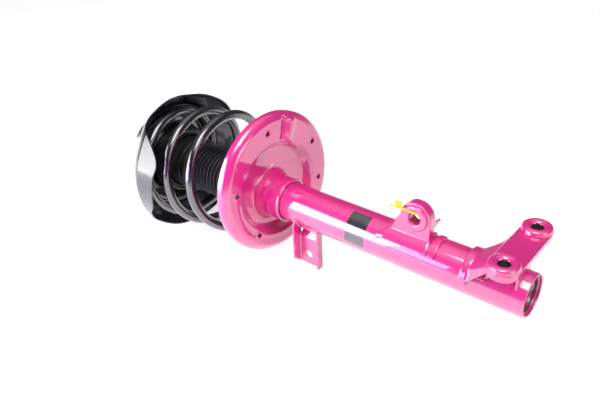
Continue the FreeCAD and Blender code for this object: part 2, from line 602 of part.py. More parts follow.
def spring_point(turned_by):
    """Wire centre at an angle in degrees counted upwards from where the second turn crosses angle zero."""
    pitch = VALUES["coil_pitch"] / 360
    steep = VALUES["steep_pitch"] / 360
    steep_from = VALUES["steep_from"]
    half = VALUES["blend_turn"] / 2
    low, cross, high = amount(WIRE_LOW), amount(WIRE_CROSS), amount(WIRE_TOP)
    low_flat = (low - cross - steep * steep_from) / (pitch + steep) - half
    high_flat = (high - cross) / pitch + half
    x = cross + pitch * turned_by - steep * eased(half - turned_by - steep_from)
    if turned_by < low_flat + 2 * half:
        x = low + (pitch + steep) * eased(turned_by - low_flat)
    if turned_by > high_flat - 2 * half:
        x = high - pitch * eased(high_flat - turned_by)
    radius = amount(COIL_R) - VALUES["coil_taper"] * max(x - amount(WIRE_TAPER), 0)
    radius -= VALUES["close_by"] * min(max((turned_by - VALUES["close_from"]) / VALUES["close_turn"], 0), 1)
    share = min(max((x - low) / (high - low), 0), 1)
    frame = seat_frame()
    axis = frame.Rotation.multVec(Vector(1, 0, 0))
    low_centre = frame.Base + axis * VALUES["spring_low"]
    around = polar(radius, -turned_by)
    tilt = (1 - share) * -(axis.y * around.y + axis.z * around.z) / axis.x
    y = low_centre.y * (1 - share) + VALUES["top_y"] * share + around.y
    z = low_centre.z * (1 - share) + VALUES["top_z"] * share + around.z
    return Vector(x + tilt + (low_centre.x - low) * (1 - share), y, z)


def biarc(start, start_way, end, end_way):
    """Two arcs that leave one point and reach another along given directions."""
    gap = end - start
    both = start_way + end_way
    spread = 2 * (1 - start_way.dot(end_way))
    reach = -gap.dot(both) + math.sqrt(gap.dot(both) ** 2 + spread * gap.dot(gap))
    reach /= spread
    middle = (start + end + (start_way - end_way) * reach) * 0.5
    edges = []
    for foot, way, tip in ((start, start_way, middle), (end, end_way * -1, middle)):
        chord = tip - foot
        normal = (chord - way * chord.dot(way)).normalize()
        radius = chord.dot(chord) / (2 * chord.dot(normal))
        centre = foot + normal * radius
        crest = centre + ((foot + tip) * 0.5 - centre).normalize() * radius
        edges.append((foot, crest, tip))
    first, second = edges
    return Part.Arc(*first).toShape(), Part.Arc(second[2], second[1], second[0]).toShape()


# Coil spring: one tube on quarter turn biarcs
def build_spring():
    low, high = -VALUES["low_turn"], VALUES["high_turn"]
    steps = math.ceil((high - low) / 90)
    small = 0.01
    edges = []
    ends = [low + (high - low) * step / steps for step in range(steps + 1)]
    for before, after in zip(ends, ends[1:]):
        ways = [(spring_point(at + small) - spring_point(at - small)).normalize() for at in (before, after)]
        edges.extend(biarc(spring_point(before), ways[0], spring_point(after), ways[1]))
    way = (spring_point(low + small) - spring_point(low - small)).normalize()
    section = Part.Wire([Part.Circle(spring_point(low), way, VALUES["wire_r"]).toShape()])
    path = Part.Wire(edges)
    shape = path.makePipeShell([section], True, False)
    expected = math.pi * VALUES["wire_r"] ** 2 * path.Length
    print(f"coil spring volume is {shape.Volume / expected:.4f} of its section times its length")
    fine = [spring_point(low + (high - low) * step / 400) for step in range(401)]
    apart = 400 * 180 / (high - low)
    gap = min((a - b).Length for i, a in enumerate(fine) for j, b in enumerate(fine) if j - i > apart)
    print(f"coil spring least gap to itself is {gap - 2 * VALUES['wire_r']:.2f} mm")
    keep(feature_of("coil_spring", shape), "coil_spring")


# Upper spring seat: a dome with a wavy skirt
def build_skirt():
    shell = new_body("upper_spring_seat")
    inner = "skirt_r - skirt_sheet"
    land = PAD_BACK
    top = PAD_BACK + " + skirt_sheet"
    turn(shell, (
        (SKIRT_LOW, inner), (SKIRT_LOW, "skirt_r"), (SKIRT_HIGH, "skirt_r"), (SHOULDER, SHOULDER_R),
        (top, LAND_R), (top, "hub_r + skirt_sheet"), (HUB_TOP, "hub_r"), (HUB_TOP, "hub_hole_r"),
        (HUB_LOW, "hub_hole_r"), (HUB_LOW, "hub_r - skirt_sheet"), (land, "hub_r"),
        (land, LAND_R + " - skirt_sheet"), (SHOULDER, SHOULDER_R + " - 1.3 * skirt_sheet"),
        (SKIRT_HIGH + " - skirt_sheet", inner)))
    edges = []
    for ring_r in (VALUES["hub_r"], 2 * VALUES["skirt_r"] - VALUES["hub_r"]):
        points = []
        for angle, depth in RIM:
            point = polar(ring_r, angle)
            point.x = amount(SHOULDER) - depth
            points.append(point)
        curve = Part.BSplineCurve()
        curve.interpolate(points, PeriodicFlag=True)
        edges.append(curve.toShape())
    waste = Part.makeRuledSurface(*edges).extrude(Vector(-2 * VALUES["skirt_r"], 0, 0))
    keep(less(shell, feature_of("rim_waste", waste)), "upper_spring_seat")
    turned("upper_spring_pad", (
        (PAD_FACE, "snout_r + snout_round"), (PAD_FACE, LAND_R + " - 1.3 * skirt_sheet"),
        (PAD_BACK, LAND_R + " - 1.3 * skirt_sheet - fit_gap"), (PAD_BACK, "snout_bore"),
        (SNOUT_LOW + " + snout_round", "snout_bore"),
        (SNOUT_LOW, "snout_bore + snout_round"), (SNOUT_LOW, "snout_r - snout_round"),
        (SNOUT_LOW + " + snout_round", "snout_r"), (PAD_FACE + " - snout_round", "snout_r")))


# Dust boot: ribs as a ruled loft, a cup that sits in the upper pad and a cuff round the tube cap
def build_boot():
    low, cup = amount(RIB_LOW), amount(RIB_HIGH)
    pitch = (cup - low) / VALUES["boot_ribs"]
    cuff_low = VALUES["tube_length"] - VALUES["boot_cuff"]
    profile = [(cuff_low, "boot_cuff_r"), (low - pitch / 4, "boot_cuff_r")]
    for rib in range(int(VALUES["boot_ribs"])):
        for share, radius in zip(RIB_PLACES, ("boot_groove_r", "boot_r", "boot_r", "boot_groove_r")):
            profile.append((low + (rib + share) * pitch, radius))
    profile.append((cup, "boot_groove_r"))
    profile.append((cup + pitch / 2, "boot_cup_r"))
    profile.append((cup + VALUES["boot_cup"], "boot_cup_r"))
    neck = "snout_bore - soft_gap"
    profile.append((cup + VALUES["boot_cup"] + pitch / 2, neck))
    profile.append((amount(PAD_BACK), neck))
    rings = []
    for place, radius in profile:
        circle = Part.Circle(Vector(place, 0, 0), Vector(1, 0, 0), amount(radius))
        rings.append(Part.Wire([circle.toShape()]))
    ribbed = feature_of("boot_ribs", Part.makeLoft(rings, True, True))
    cuff = cylinder("tube_r + fit_gap + cap_wall + soft_gap", "tube_length - boot_cuff", CAP_FACE + " + soft_gap")
    bore = cylinder("boot_bore", "tube_length", PAD_BACK)
    cup_bore = cylinder("boot_cup_r - boot_wall", RIB_HIGH + f" + {pitch}", RIB_HIGH + " + boot_cup")
    neck_bore = cylinder(neck + " - boot_wall", RIB_HIGH + " + boot_cup", PAD_BACK)
    keep(less(ribbed, joined(cuff, bore, cup_bore, neck_bore)), "dust_boot")


# Strut bearing and top mount
def build_mount():
    groove = VALUES["ball_r"] + VALUES["run_gap"]
    balls = []
    for ball in range(int(VALUES["ball_count"])):
        sphere = doc.addObject("Part::Sphere", "ball")
        bind(sphere, "Radius", "ball_r")
        spot = polar(VALUES["ball_circle"], ball * 360 / VALUES["ball_count"])
        sphere.Placement = Placement(Vector(amount(BALL_X), spot.y, spot.z), Rotation())
        balls.append(sphere)
    holes = []
    for ball in balls:
        centre = ball.Placement.Base
        holes.append(cylinder(
            "ball_r + cage_gap", BALL_X + " - cage_height", BALL_X + " + cage_height", (str(centre.y), str(centre.z))))
    cage = less(
        cylinder("ball_circle + cage_reach", BALL_X + " - 0.5 * cage_height", BALL_X + " + 0.5 * cage_height"),
        cylinder("ball_circle - cage_reach", BALL_X + " - 0.5 * cage_height", BALL_X + " + 0.5 * cage_height"))
    keep(less(cage, joined(*holes)), "bearing_cage")
    keep(joined(*balls), "bearing_balls")
    for label, low, high in (
            ("bearing_lower_race", HUB_TOP, HUB_TOP + " + race_height"),
            ("bearing_upper_race", RACE_HIGH, PLATE_LOW)):
        race = less(cylinder("bearing_out", low, high), cylinder("bearing_in", low, high))
        track = feature_of(label + "_track", Part.makeTorus(
            VALUES["ball_circle"], groove, Vector(amount(BALL_X), 0, 0), Vector(1, 0, 0)))
        keep(less(race, track), label)
    hole = "sleeve_r + fit_gap"
    rim_low = PLATE_LOW + " - plate_rim"
    turned("mount_plate", (
        (PLATE_LOW, hole), (PLATE_LOW, "plate_r - plate_sheet"), (rim_low, "plate_r - plate_sheet"),
        (rim_low, "plate_r"), (PLATE_TOP, "plate_r"), (PLATE_TOP, hole)))
    tube("mount_sleeve", WASHER_TOP, SLEEVE_TOP, "shank_r + fit_gap", "sleeve_r")
    turned("mount_rubber", (
        (PLATE_TOP, hole), (PLATE_TOP, "rubber_r"), (MOUNT_FACE, "rubber_top_r"),
        (MOUNT_FACE, "nut_pocket_r"), (SLEEVE_TOP, "nut_pocket_r"), (SLEEVE_TOP, hole)))
    hex_nut("rod_nut", SLEEVE_TOP, SLEEVE_TOP + " + nut_height", "rod_nut_flats", "shank_r + fit_gap")


def clear_tube(body, low, high):
    """Cut the damper tube's seat out of a bracket."""
    turn(body, box(low, high, "0", "tube_r + fit_gap"), "Groove")


def stadium(half):
    """Outline at one distance round the two knuckle bolts, with quarter arcs at its ends."""
    right = "knuckle_x + " + half
    left = minus("knuckle_x", half)
    return (
        (right, "knuckle_far"), (right, "knuckle_near", half, -1),
        ("knuckle_x", "knuckle_near + " + half, half, -1), (left, "knuckle_near"),
        (left, "knuckle_far", half, -1), ("knuckle_x", minus("knuckle_far", half), half, -1))


def upright(x, y):
    """A frame whose first axis points along +Z at a place."""
    return Placement(Vector(amount(x), amount(y), 0), Rotation(Vector(0, 1, 0), -90))


def sheet_over(points):
    """Outline of a sheet whose outside runs over points (across, up) and whose inside is nearer the strut axis."""
    depth = 1.3 * VALUES["bracket_sheet"]
    inside = [(y - depth * y / math.hypot(y, z), z - depth * z / math.hypot(y, z)) for y, z in reversed(points)]
    return [(str(y), str(z)) for y, z in points + inside]


# Lower knuckle bracket: an arm with two bolt bosses, a web and a saddle
def build_knuckle():
    body = new_body("lower_knuckle_bracket")
    inside = "arm_r - bracket_sheet"
    under = "arm_top - bracket_sheet"
    wide = ("knuckle_x - 2 * arm_r", "knuckle_x + 2 * arm_r")
    span(body, "XY_Plane", stadium("arm_r"), "0.2 * tube_r", "arm_top")
    span(body, "XY_Plane", stadium(inside), "0", under, cut=True)
    span(body, "XY_Plane", box(*wide, "knuckle_far - 2 * arm_r", "skirt_turn"),
         "0", "arm_top - arm_skirt", cut=True)
    span(body, "XY_Plane", box(*wide, "knuckle_near", "knuckle_near + 2 * arm_r"),
         "0", "skirt_foot", cut=True)
    root, tip = sketch_on(body, "YZ_Plane"), sketch_on(body, "YZ_Plane")
    bind(root, "AttachmentOffset.Base.z", "knuckle_x + " + inside)
    bind(tip, "AttachmentOffset.Base.z", "saddle_end + 0.1 * horn_length")
    shoulder = "web_near - 0.5 * bracket_sheet"
    brow = (
        ("web_far", "arm_top"), ("0.5 * web_far", "arm_top"), ("knuckle_near", "arm_top"),
        (shoulder, "arm_top - 0.5 * bracket_sheet"), ("web_near", "arm_top - 3 * bracket_sheet"))
    draw(root, sheet_over([(amount(across), amount(up)) for across, up in brow]))
    turn_by = (VALUES["web_tip_near"] - VALUES["web_tip_far"]) / (len(brow) - 1)
    tip_r = amount("0.5 * saddle_r + 0.5 * horn_r")
    spots = [polar(tip_r, VALUES["web_tip_far"] + turn_by * step) for step in range(len(brow))]
    draw(tip, sheet_over([(spot.y, spot.z) for spot in spots]))
    web = body.newObject("PartDesign::AdditiveLoft", "web")
    web.Profile = root
    web.Sections = [tip]
    web.Ruled = True
    doc.recompute()
    turn(body, box("knuckle_x + arm_r", "saddle_end + horn_length", "tube_r - fit_gap", "saddle_r"),
         start="saddle_from", sweep="saddle_from - saddle_to")
    turn(body, box("saddle_end", "saddle_end + horn_length", "tube_r - fit_gap", "horn_r"),
         start="horn_from", sweep="horn_from - saddle_to")
    edge = "knuckle_far - 0.9 * arm_r"
    foot = "arm_top - arm_skirt - tab_drop"
    span(body, "YZ_Plane", (
        (edge, under), (edge + " + tab_lean", foot), (edge + " + tab_lean + bracket_sheet", foot),
        (edge + " + bracket_sheet", under)), "knuckle_x - 0.5 * tab_width", "knuckle_x + 0.5 * tab_width")
    clear_tube(body, "knuckle_x - 2 * arm_r", "saddle_end + 2 * horn_length")
    for place in ("knuckle_near", "knuckle_far"):
        span(body, "XY_Plane", ("circle", "knuckle_x", place, "boss_sleeve_r + fit_gap"),
             "arm_top - 2 * bracket_sheet", "arm_top + bracket_sheet", cut=True)
    keep(body, "lower_knuckle_bracket")
    collars, bores = [], []
    low = "arm_top - boss_sleeve"
    round_low = "boss_face - boss_round"
    for place in ("knuckle_near", "knuckle_far"):
        frame = upright("knuckle_x", place)
        collars.append(cylinder("boss_sleeve_r", low, "arm_top", frame=frame))
        collars.append(cylinder("boss_base_r", "arm_top", round_low, frame=frame))
        collars.append(cone("boss_base_r", "boss_r", round_low, "boss_face", ("0", "0"), frame))
        bores.append(cylinder("knuckle_bolt_r", low, "boss_face", frame=frame))
    keep(less(joined(*collars), joined(*bores)), "knuckle_boss_collars")


def cup_outline(inset, low):
    """Outline of the stamped cup in the plane of X and Z, drawn in by an inset."""
    left = "eye_x - arch_r" + inset
    arch = minus("arch_r", inset[3:]) if inset else "arch_r"
    wing = minus("wing_x", inset[3:]) if inset else "wing_x"
    shoulder = minus("eye_x + wing_run", inset[3:]) if inset else "eye_x + wing_run"
    return (
        (left, low), (wing, low), (wing, "wing_z"), (shoulder, "eye_z - wing_drop"),
        ("eye_x + " + arch, "eye_z", arch, -1), ("eye_x", "eye_z + " + arch, arch, -1), (left, "eye_z"))


# Upper knuckle bracket: a stamped cup that carries the eye
def build_eye():
    body = new_body("upper_knuckle_bracket")
    span(body, "XZ_Plane", cup_outline("", "0.4 * tube_r"), "cup_back", "cup_face")
    span(body, "XZ_Plane", cup_outline(" + bracket_sheet", "0"), "cup_back - bracket_sheet",
         "cup_face - bracket_sheet", cut=True)
    turn(body, box("eye_x - arch_r", "wing_x", "tube_r - fit_gap", "saddle_r"),
         start="cup_saddle_from", sweep="cup_saddle_from - cup_saddle_to")
    clear_tube(body, "eye_x - 2 * arch_r", "wing_x + arch_r")
    span(body, "XZ_Plane", ("circle", "eye_x", "eye_z", "eye_sleeve_r + fit_gap"),
         "cup_face - 2 * bracket_sheet", "cup_face + bracket_sheet", cut=True)
    spur_z = "eye_z - 0.5 * arch_r"
    span(body, "YZ_Plane", (
        ("cup_back + bracket_sheet", spur_z + " - bracket_sheet"), ("cup_back - spur_length", spur_z),
        ("cup_back - spur_length", spur_z + " + bracket_sheet"),
        ("cup_back + bracket_sheet", spur_z + " + 2 * bracket_sheet")),
        "eye_x - arch_r", "eye_x - arch_r + 0.8 * bracket_sheet")
    keep(body, "upper_knuckle_bracket")
    frame = Placement(Vector(VALUES["eye_x"], 0, VALUES["eye_z"]), Rotation(Vector(0, 0, 1), 90))
    low = "cup_back + fit_gap"
    collar = joined(
        cylinder("eye_sleeve_r", low, "cup_face", frame=frame),
        cylinder("eye_ring_r", "cup_face", "eye_face", frame=frame))
    keep(less(collar, cylinder("eye_bolt_r", low, "eye_face", frame=frame)), "eye_collar")
    strap = new_body("upper_bracket_strap")
    turn(strap, box("strap_x", "strap_x + strap_width", "tube_r + fit_gap", "strap_r"),
         start="cup_saddle_from", sweep="cup_saddle_from - cup_saddle_to")
    keep(strap, "upper_bracket_strap")


# Cable bracket: a folded plate with a flange on each side
def build_cable_bracket():
    body = new_body("cable_bracket")
    inner = "cable_face - cable_sheet"
    drop = "cable_drop - 2 * cable_sheet"
    low_in, high_in = CABLE_LOW + " + cable_sheet", CABLE_HIGH + " - cable_sheet"
    span(body, "YZ_Plane", box("cable_back", "cable_face", drop, "0 - 0.6 * tube_r"), CABLE_LOW, low_in)
    span(body, "YZ_Plane", (
        (inner, "cable_drop"), ("cable_face", "cable_drop"), ("cable_face", "cable_fold"),
        ("0.5 * cable_face", "0 - 0.9 * tube_r"), ("0.3 * cable_face", "0 - tube_r"),
        (inner, "cable_fold - 0.4 * cable_sheet")), low_in, high_in)
    span(body, "YZ_Plane", (
        (inner, "cable_drop"), ("cable_face", "cable_drop"), ("cable_reach", "cable_drop + 4 * cable_sheet"),
        ("cable_reach", "0 - 0.6 * tube_r"), ("cable_reach - 2 * cable_sheet", "0 - 0.2 * tube_r"),
        (inner, "0 - 0.2 * tube_r")), high_in, CABLE_HIGH)
    clear_tube(body, CABLE_LOW + " - cable_sheet", CABLE_HIGH + " + cable_sheet")
    span(body, "XZ_Plane", ("circle", CABLE_HOLE, "cable_hole_z", "cable_hole_r"),
         "cable_face - 2 * cable_sheet", "cable_face + cable_sheet", cut=True)
    keep(body, "cable_bracket")


# Blank label round the tube and the marker strip on the eye
def build_trim():
    label = new_body("blank_label")
    turn(label, box("label_low", "label_high", "tube_r + fit_gap", "tube_r + fit_gap + label_height"),
         start="label_from", sweep="label_from - label_to")
    keep(label, "blank_label")
    strips = []
    for middle, length, height, rise in (
            ("tag_x", "tag_length", "tag_width", "tag_rise"),
            ("leaf_x", "leaf_size", "leaf_size", "tag_rise + 0.5 * leaf_size")):
        strip = doc.addObject("Part::Box", "strip")
        bind(strip, "Length", length)
        bind(strip, "Width", "tag_height")
        bind(strip, "Height", height)
        strip.Placement.Base = Vector(
            amount(f"{middle} - 0.5 * {length}"), VALUES["eye_face"], amount(f"eye_z + {rise} - 0.5 * {height}"))
        strips.append(strip)
    keep(joined(*strips), "yellow_tag")


def check_and_write():
    """Stop at any failed object, then write each piece to its own file."""
    doc.recompute()
    for thing in doc.Objects:
        if "Invalid" in thing.State or "Error" in thing.State:
            raise ValueError(f"{thing.Name} failed: {thing.State}")
    os.makedirs("parts", exist_ok=True)
    for piece in pieces:
        shape = piece.Shape
        if shape.isNull() or not shape.isValid() or not shape.Solids:
            raise ValueError(f"{piece.Label} has no valid shape")
        shape.exportStep(f"parts/{piece.Label}.step")
        box_of = shape.BoundBox
        print(f"{piece.Label}: {len(shape.Solids)} solids, {shape.Volume:.0f} mm3, x {box_of.XMin:.1f} {box_of.XMax:.1f}")


build_tube()
build_rod()
build_seat()
build_spring()
build_skirt()
build_boot()
build_mount()
build_knuckle()
build_eye()
build_cable_bracket()
build_trim()
check_and_write()
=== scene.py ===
"""Strut assembly: a magenta damper with its brackets, a coil spring between two seats, and a top mount.

Sizes are millimetres. X runs up the strut axis and is counted from the lower end of the damper tube. Z is
up, and angles round the axis are degrees from +Z towards +Y. Every mesh is written in metres at the frame's
own place.
"""
import json
import logging
import math
from dataclasses import dataclass
from enum import Enum
from typing import Callable, Sequence

import bmesh
import bpy
import numpy as np
from mathutils import Matrix, Vector


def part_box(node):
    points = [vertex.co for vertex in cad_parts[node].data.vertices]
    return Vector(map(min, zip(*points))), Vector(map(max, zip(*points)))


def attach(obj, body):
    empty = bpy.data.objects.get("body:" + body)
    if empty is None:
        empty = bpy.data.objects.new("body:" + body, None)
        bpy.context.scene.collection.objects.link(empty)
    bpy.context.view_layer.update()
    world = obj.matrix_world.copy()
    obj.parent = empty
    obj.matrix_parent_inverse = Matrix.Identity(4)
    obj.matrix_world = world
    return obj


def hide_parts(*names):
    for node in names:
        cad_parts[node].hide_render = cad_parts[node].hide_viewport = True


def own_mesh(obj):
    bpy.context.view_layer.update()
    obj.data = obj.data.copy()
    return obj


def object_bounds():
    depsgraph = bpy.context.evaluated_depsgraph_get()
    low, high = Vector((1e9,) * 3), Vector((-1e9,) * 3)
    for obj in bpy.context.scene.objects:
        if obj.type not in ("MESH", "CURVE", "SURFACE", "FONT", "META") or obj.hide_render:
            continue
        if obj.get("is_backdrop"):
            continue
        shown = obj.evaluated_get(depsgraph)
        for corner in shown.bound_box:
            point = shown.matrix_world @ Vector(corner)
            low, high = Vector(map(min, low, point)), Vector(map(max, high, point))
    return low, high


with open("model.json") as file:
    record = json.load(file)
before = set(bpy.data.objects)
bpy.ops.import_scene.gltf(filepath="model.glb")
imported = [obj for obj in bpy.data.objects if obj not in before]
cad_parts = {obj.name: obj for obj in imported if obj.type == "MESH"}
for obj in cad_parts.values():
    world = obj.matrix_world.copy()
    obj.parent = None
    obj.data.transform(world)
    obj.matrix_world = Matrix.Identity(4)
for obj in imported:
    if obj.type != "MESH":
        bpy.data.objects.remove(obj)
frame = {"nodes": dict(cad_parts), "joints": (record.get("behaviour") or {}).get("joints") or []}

LOG = logging.getLogger("strut")
MM = 0.001
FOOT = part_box("outer_tube")[0].x

# Gap between two pieces that touch, in millimetres
GAP = 0.05

# Lengths in metres under which points are one, and under which an edge is none
MERGE = 1e-6
NO_EDGE = 1e-7


def smooth(value: np.ndarray | float, low: float, high: float) -> np.ndarray | float:
    """Smooth step from 0 at low to 1 at high.

    Args:
        value: number or array to weigh.
        low: where the step starts.
        high: where the step ends, which may lie below low.

    Returns:
        The weight from 0 to 1.
    """
    share = np.clip((value - low) / (high - low), 0, 1)
    return share * share * (3 - 2 * share)


def rounded(corners: Sequence[Sequence[float]], steps: int = 5, closed: bool = True) -> np.ndarray:
    """Round the corners of an outline.

    Args:
        corners: (along, radius) or (along, radius, rounding) for each corner.
        steps: points on each rounded corner.
        closed: whether the last corner joins the first.

    Returns:
        The outline as an array of (along, radius).
    """
    out: list[np.ndarray] = []
    count = len(corners)
    for index, corner in enumerate(corners):
        here = np.array(corner[:2], float)
        inner = closed or 0 < index < count - 1
        if len(corner) < 3 or not inner:
            out.append(here)
            continue
        before = np.array(corners[index - 1][:2], float) - here
        after = np.array(corners[(index + 1) % count][:2], float) - here
        reach = min(corner[2], 0.45 * np.linalg.norm(before), 0.45 * np.linalg.norm(after))
        start = here + before / np.linalg.norm(before) * reach
        end = here + after / np.linalg.norm(after) * reach
        for share in np.linspace(0, 1, steps):
            out.append(start * (1 - share) ** 2 + here * 2 * share * (1 - share) + end * share**2)
    return np.array(out)


def refined(outline: np.ndarray, step: float) -> np.ndarray:
    """Add points along an open outline so that no run is longer than a step.

    Args:
        outline: the points.
        step: the longest run.

    Returns:
        The outline with its added points.
    """
    out = [outline[0]]
    for start, end in zip(outline, outline[1:]):
        pieces = max(1, math.ceil(float(np.linalg.norm(end - start)) / step))
        out.extend(start + (end - start) * (piece + 1) / pieces for piece in range(pieces))
    return np.array(out)


def metres(points: np.ndarray) -> np.ndarray:
    """Move points from the drawing's millimetres into the frame's metres."""
    return np.asarray(points, float).reshape(-1, 3) * MM + np.array((FOOT, 0, 0))


def new_object(name: str, data: bpy.types.ID) -> bpy.types.Object:
    """Link a mesh, a curve, a camera or a lamp to the scene as an object.

    Args:
        name: the object's name.
        data: what the object shows.

    Returns:
        The object.
    """
    thing = bpy.data.objects.new(name, data)
    bpy.context.scene.collection.objects.link(thing)
    return thing


def make(name: str, points: np.ndarray, faces: Sequence[Sequence[int]]) -> bpy.types.Object:
    """Make an object from points in millimetres and faces.

    Args:
        name: the object's name.
        points: the points.
        faces: the numbers of each face's points.

    Returns:
        The object.
    """
    mesh = bpy.data.meshes.new(name)
    mesh.from_pydata(metres(points).tolist(), [], [tuple(face) for face in faces])
    mesh.validate()
    return new_object(name, mesh)


def tidy(thing: bpy.types.Object, sharp: float = 35) -> bpy.types.Object:
    """Merge doubles, turn the faces outwards and shade smooth up to an angle.

    Args:
        thing: the object.
        sharp: degrees above which an edge stays sharp.

    Returns:
        The object.
    """
    work = bmesh.new()
    work.from_mesh(thing.data)
    bmesh.ops.remove_doubles(work, verts=work.verts, dist=MERGE)
    bmesh.ops.dissolve_degenerate(work, edges=work.edges, dist=NO_EDGE)
    bmesh.ops.recalc_face_normals(work, faces=work.faces)
    for face in work.faces:
        face.smooth = True
    work.to_mesh(thing.data)
    work.free()
    thing.data.set_sharp_from_angle(angle=math.radians(sharp))
    return thing


def loft(name: str, rings: np.ndarray, closed: bool = True) -> bpy.types.Object:
    """Skin a stack of closed rings.

    Args:
        name: the object's name.
        rings: array of rings, points and coordinates.
        closed: whether the last ring joins the first, as round a turned section.

    Returns:
        The object.
    """
    rows, columns = rings.shape[:2]
    faces = []
    for row in range(rows if closed else rows - 1):
        after = (row + 1) % rows
        for column in range(columns):
            beside = (column + 1) % columns
            faces.append((row * columns + column, after * columns + column,
                          after * columns + beside, row * columns + beside))
    return make(name, rings.reshape(-1, 3), faces)


def ring_angles(columns: int) -> np.ndarray:
    """Evenly spaced angles in degrees round the axis."""
    return np.arange(columns) * 360 / columns


def ring_at(x: np.ndarray | float, radius: np.ndarray | float, degrees: np.ndarray | float) -> np.ndarray:
    """Points round the strut axis, from their places along it, radii and angles."""
    radians = np.radians(degrees)
    return np.stack([x + 0 * radians, radius * np.sin(radians), radius * np.cos(radians)], axis=1)


def arc_path(x: float, radius: float, start: float, end: float, count: int) -> np.ndarray:
    """Points round the strut axis from one angle to another."""
    return ring_at(x, radius, np.linspace(start, end, count))


def turned(name: str, outline: np.ndarray, columns: int, closed: bool = True) -> bpy.types.Object:
    """Turn an outline of (along, radius) round the strut axis.

    Args:
        name: the object's name.
        outline: the section.
        columns: sides round the axis.
        closed: whether the outline's last point joins its first.

    Returns:
        The object.
    """
    angles = ring_angles(columns)
    return tidy(loft(name, np.stack([ring_at(x, radius, angles) for x, radius in outline]), closed))


def evaluated(thing: bpy.types.Object) -> bpy.types.Mesh:
    """A new mesh of what an object's modifiers make of it."""
    graph = bpy.context.evaluated_depsgraph_get()
    return bpy.data.meshes.new_from_object(thing.evaluated_get(graph))


def applied(thing: bpy.types.Object) -> bpy.types.Object:
    """Turn an object's modifiers into its mesh.

    Args:
        thing: the object.

    Returns:
        The object.
    """
    mesh = evaluated(thing)
    thing.modifiers.clear()
    thing.data = mesh
    return thing


def shaded(thing: bpy.types.Object) -> bpy.types.Object:
    """Shade every face of an object smooth.

    Args:
        thing: the object.

    Returns:
        The object.
    """
    for polygon in thing.data.polygons:
        polygon.use_smooth = True
    return thing


def walled(thing: bpy.types.Object, wall: float, offset: float) -> bpy.types.Object:
    """Give a surface its sheet thickness.

    Args:
        thing: the surface.
        wall: the thickness, millimetres.
        offset: 1 for a wall along the normals, -1 for one against them.

    Returns:
        The sheet.
    """
    solid = thing.modifiers.new("wall", "SOLIDIFY")
    solid.thickness = wall * MM
    solid.offset = offset
    solid.use_even_offset = False
    shaded(applied(thing)).data.set_sharp_from_angle(angle=math.radians(40))
    return thing


def cut(thing: bpy.types.Object, tool: bpy.types.Object) -> bpy.types.Object:
    """Cut one object out of another and remove the tool.

    Args:
        thing: the object that is cut.
        tool: what is cut out of it.

    Returns:
        The object that is cut.
    """
    boolean = thing.modifiers.new("cut", "BOOLEAN")
    boolean.object = tool
    boolean.operation = "DIFFERENCE"
    boolean.solver = "MANIFOLD"
    applied(thing)
    bpy.data.objects.remove(tool)
    return thing


class Tree:
    """A node tree, shader or geometry, that is written as calls and sums."""

    def __init__(self, tree: bpy.types.NodeTree) -> None:
        """Hold the tree that the nodes are added to."""
        self.tree = tree

    def node(self, kind: str, settings: dict | None = None, **sockets: object) -> bpy.types.Node:
        """Add a node.

        Args:
            kind: the node's type.
            settings: its properties, set first.
            **sockets: values or links, by the socket's name with underscores for spaces, or by its place
                as at0, at1 and so on.

        Returns:
            The node.
        """
        made = self.tree.nodes.new(kind)
        for name, value in (settings or {}).items():
            setattr(made, name, value)
        for name, value in sockets.items():
            key = int(name[2:]) if name[:2] == "at" and name[2:].isdigit() else name.replace("_", " ")
            socket = made.inputs[key]
            if isinstance(value, Value):
                self.tree.links.new(value.socket, socket)
            else:
                socket.default_value = value
        return made

    def out(self, made: bpy.types.Node, socket: str | int = 0) -> "Value":
        """Wrap one output of a node."""
        return Value(self, made.outputs[socket])

    def math(self, operation: str, *values: object) -> "Value":
        """Add a Math node on up to three values."""
        sockets = {f"at{index}": value for index, value in enumerate(values)}
        return self.out(self.node("ShaderNodeMath", {"operation": operation}, **sockets))

    def ramp(self, factor: "Value", stops: Sequence[tuple[float, tuple[float, float, float]]]) -> "Value":
        """Add a colour ramp over a factor.

        Args:
            factor: what the ramp reads, from 0 to 1.
            stops: a place and a colour for each stop.

        Returns:
            The colour.
        """
        made = self.node("ShaderNodeValToRGB", Fac=factor)
        elements = made.color_ramp.elements
        while len(elements) < len(stops):
            elements.new(0.5)
        for element, (place, colour) in zip(elements, stops):
            element.position = place
            element.color = (*colour, 1)
        return self.out(made)

    def noise(self, where: "Value", size: float, detail: float, rough: float = 0.5) -> "Value":
        """Add a noise whose features are about a size in millimetres."""
        return self.out(self.node(
            "ShaderNodeTexNoise", Vector=where, Scale=1 / (size * MM), Detail=detail, Roughness=rough))

    def bump(self, height: "Value", depth: float) -> "Value":
        """Add a bump whose full height is a depth in millimetres."""
        return self.out(self.node("ShaderNodeBump", Height=height, Distance=depth * MM, Strength=1.0))


class Value:
    """A socket that takes part in sums."""

    def __init__(self, tree: Tree, socket: bpy.types.NodeSocket) -> None:
        """Hold an output socket and the tree that it belongs to."""
        self.tree = tree
        self.socket = socket

    def __add__(self, other: object) -> "Value":
        """Add."""
        return self.tree.math("ADD", self, other)

    def __radd__(self, other: float) -> "Value":
        """Add to a number."""
        return self.tree.math("ADD", other, self)

    def __sub__(self, other: object) -> "Value":
        """Subtract."""
        return self.tree.math("SUBTRACT", self, other)

    def __mul__(self, other: object) -> "Value":
        """Multiply."""
        return self.tree.math("MULTIPLY", self, other)

    def clipped(self, low: float, high: float) -> "Value":
        """A smooth step of this value.

        Args:
            low: where the step starts.
            high: where the step ends.

        Returns:
            The weight from 0 to 1.
        """
        return self.tree.out(self.tree.node(
            "ShaderNodeMapRange", {"interpolation_type": "SMOOTHSTEP"}, Value=self, From_Min=low,
            From_Max=high))


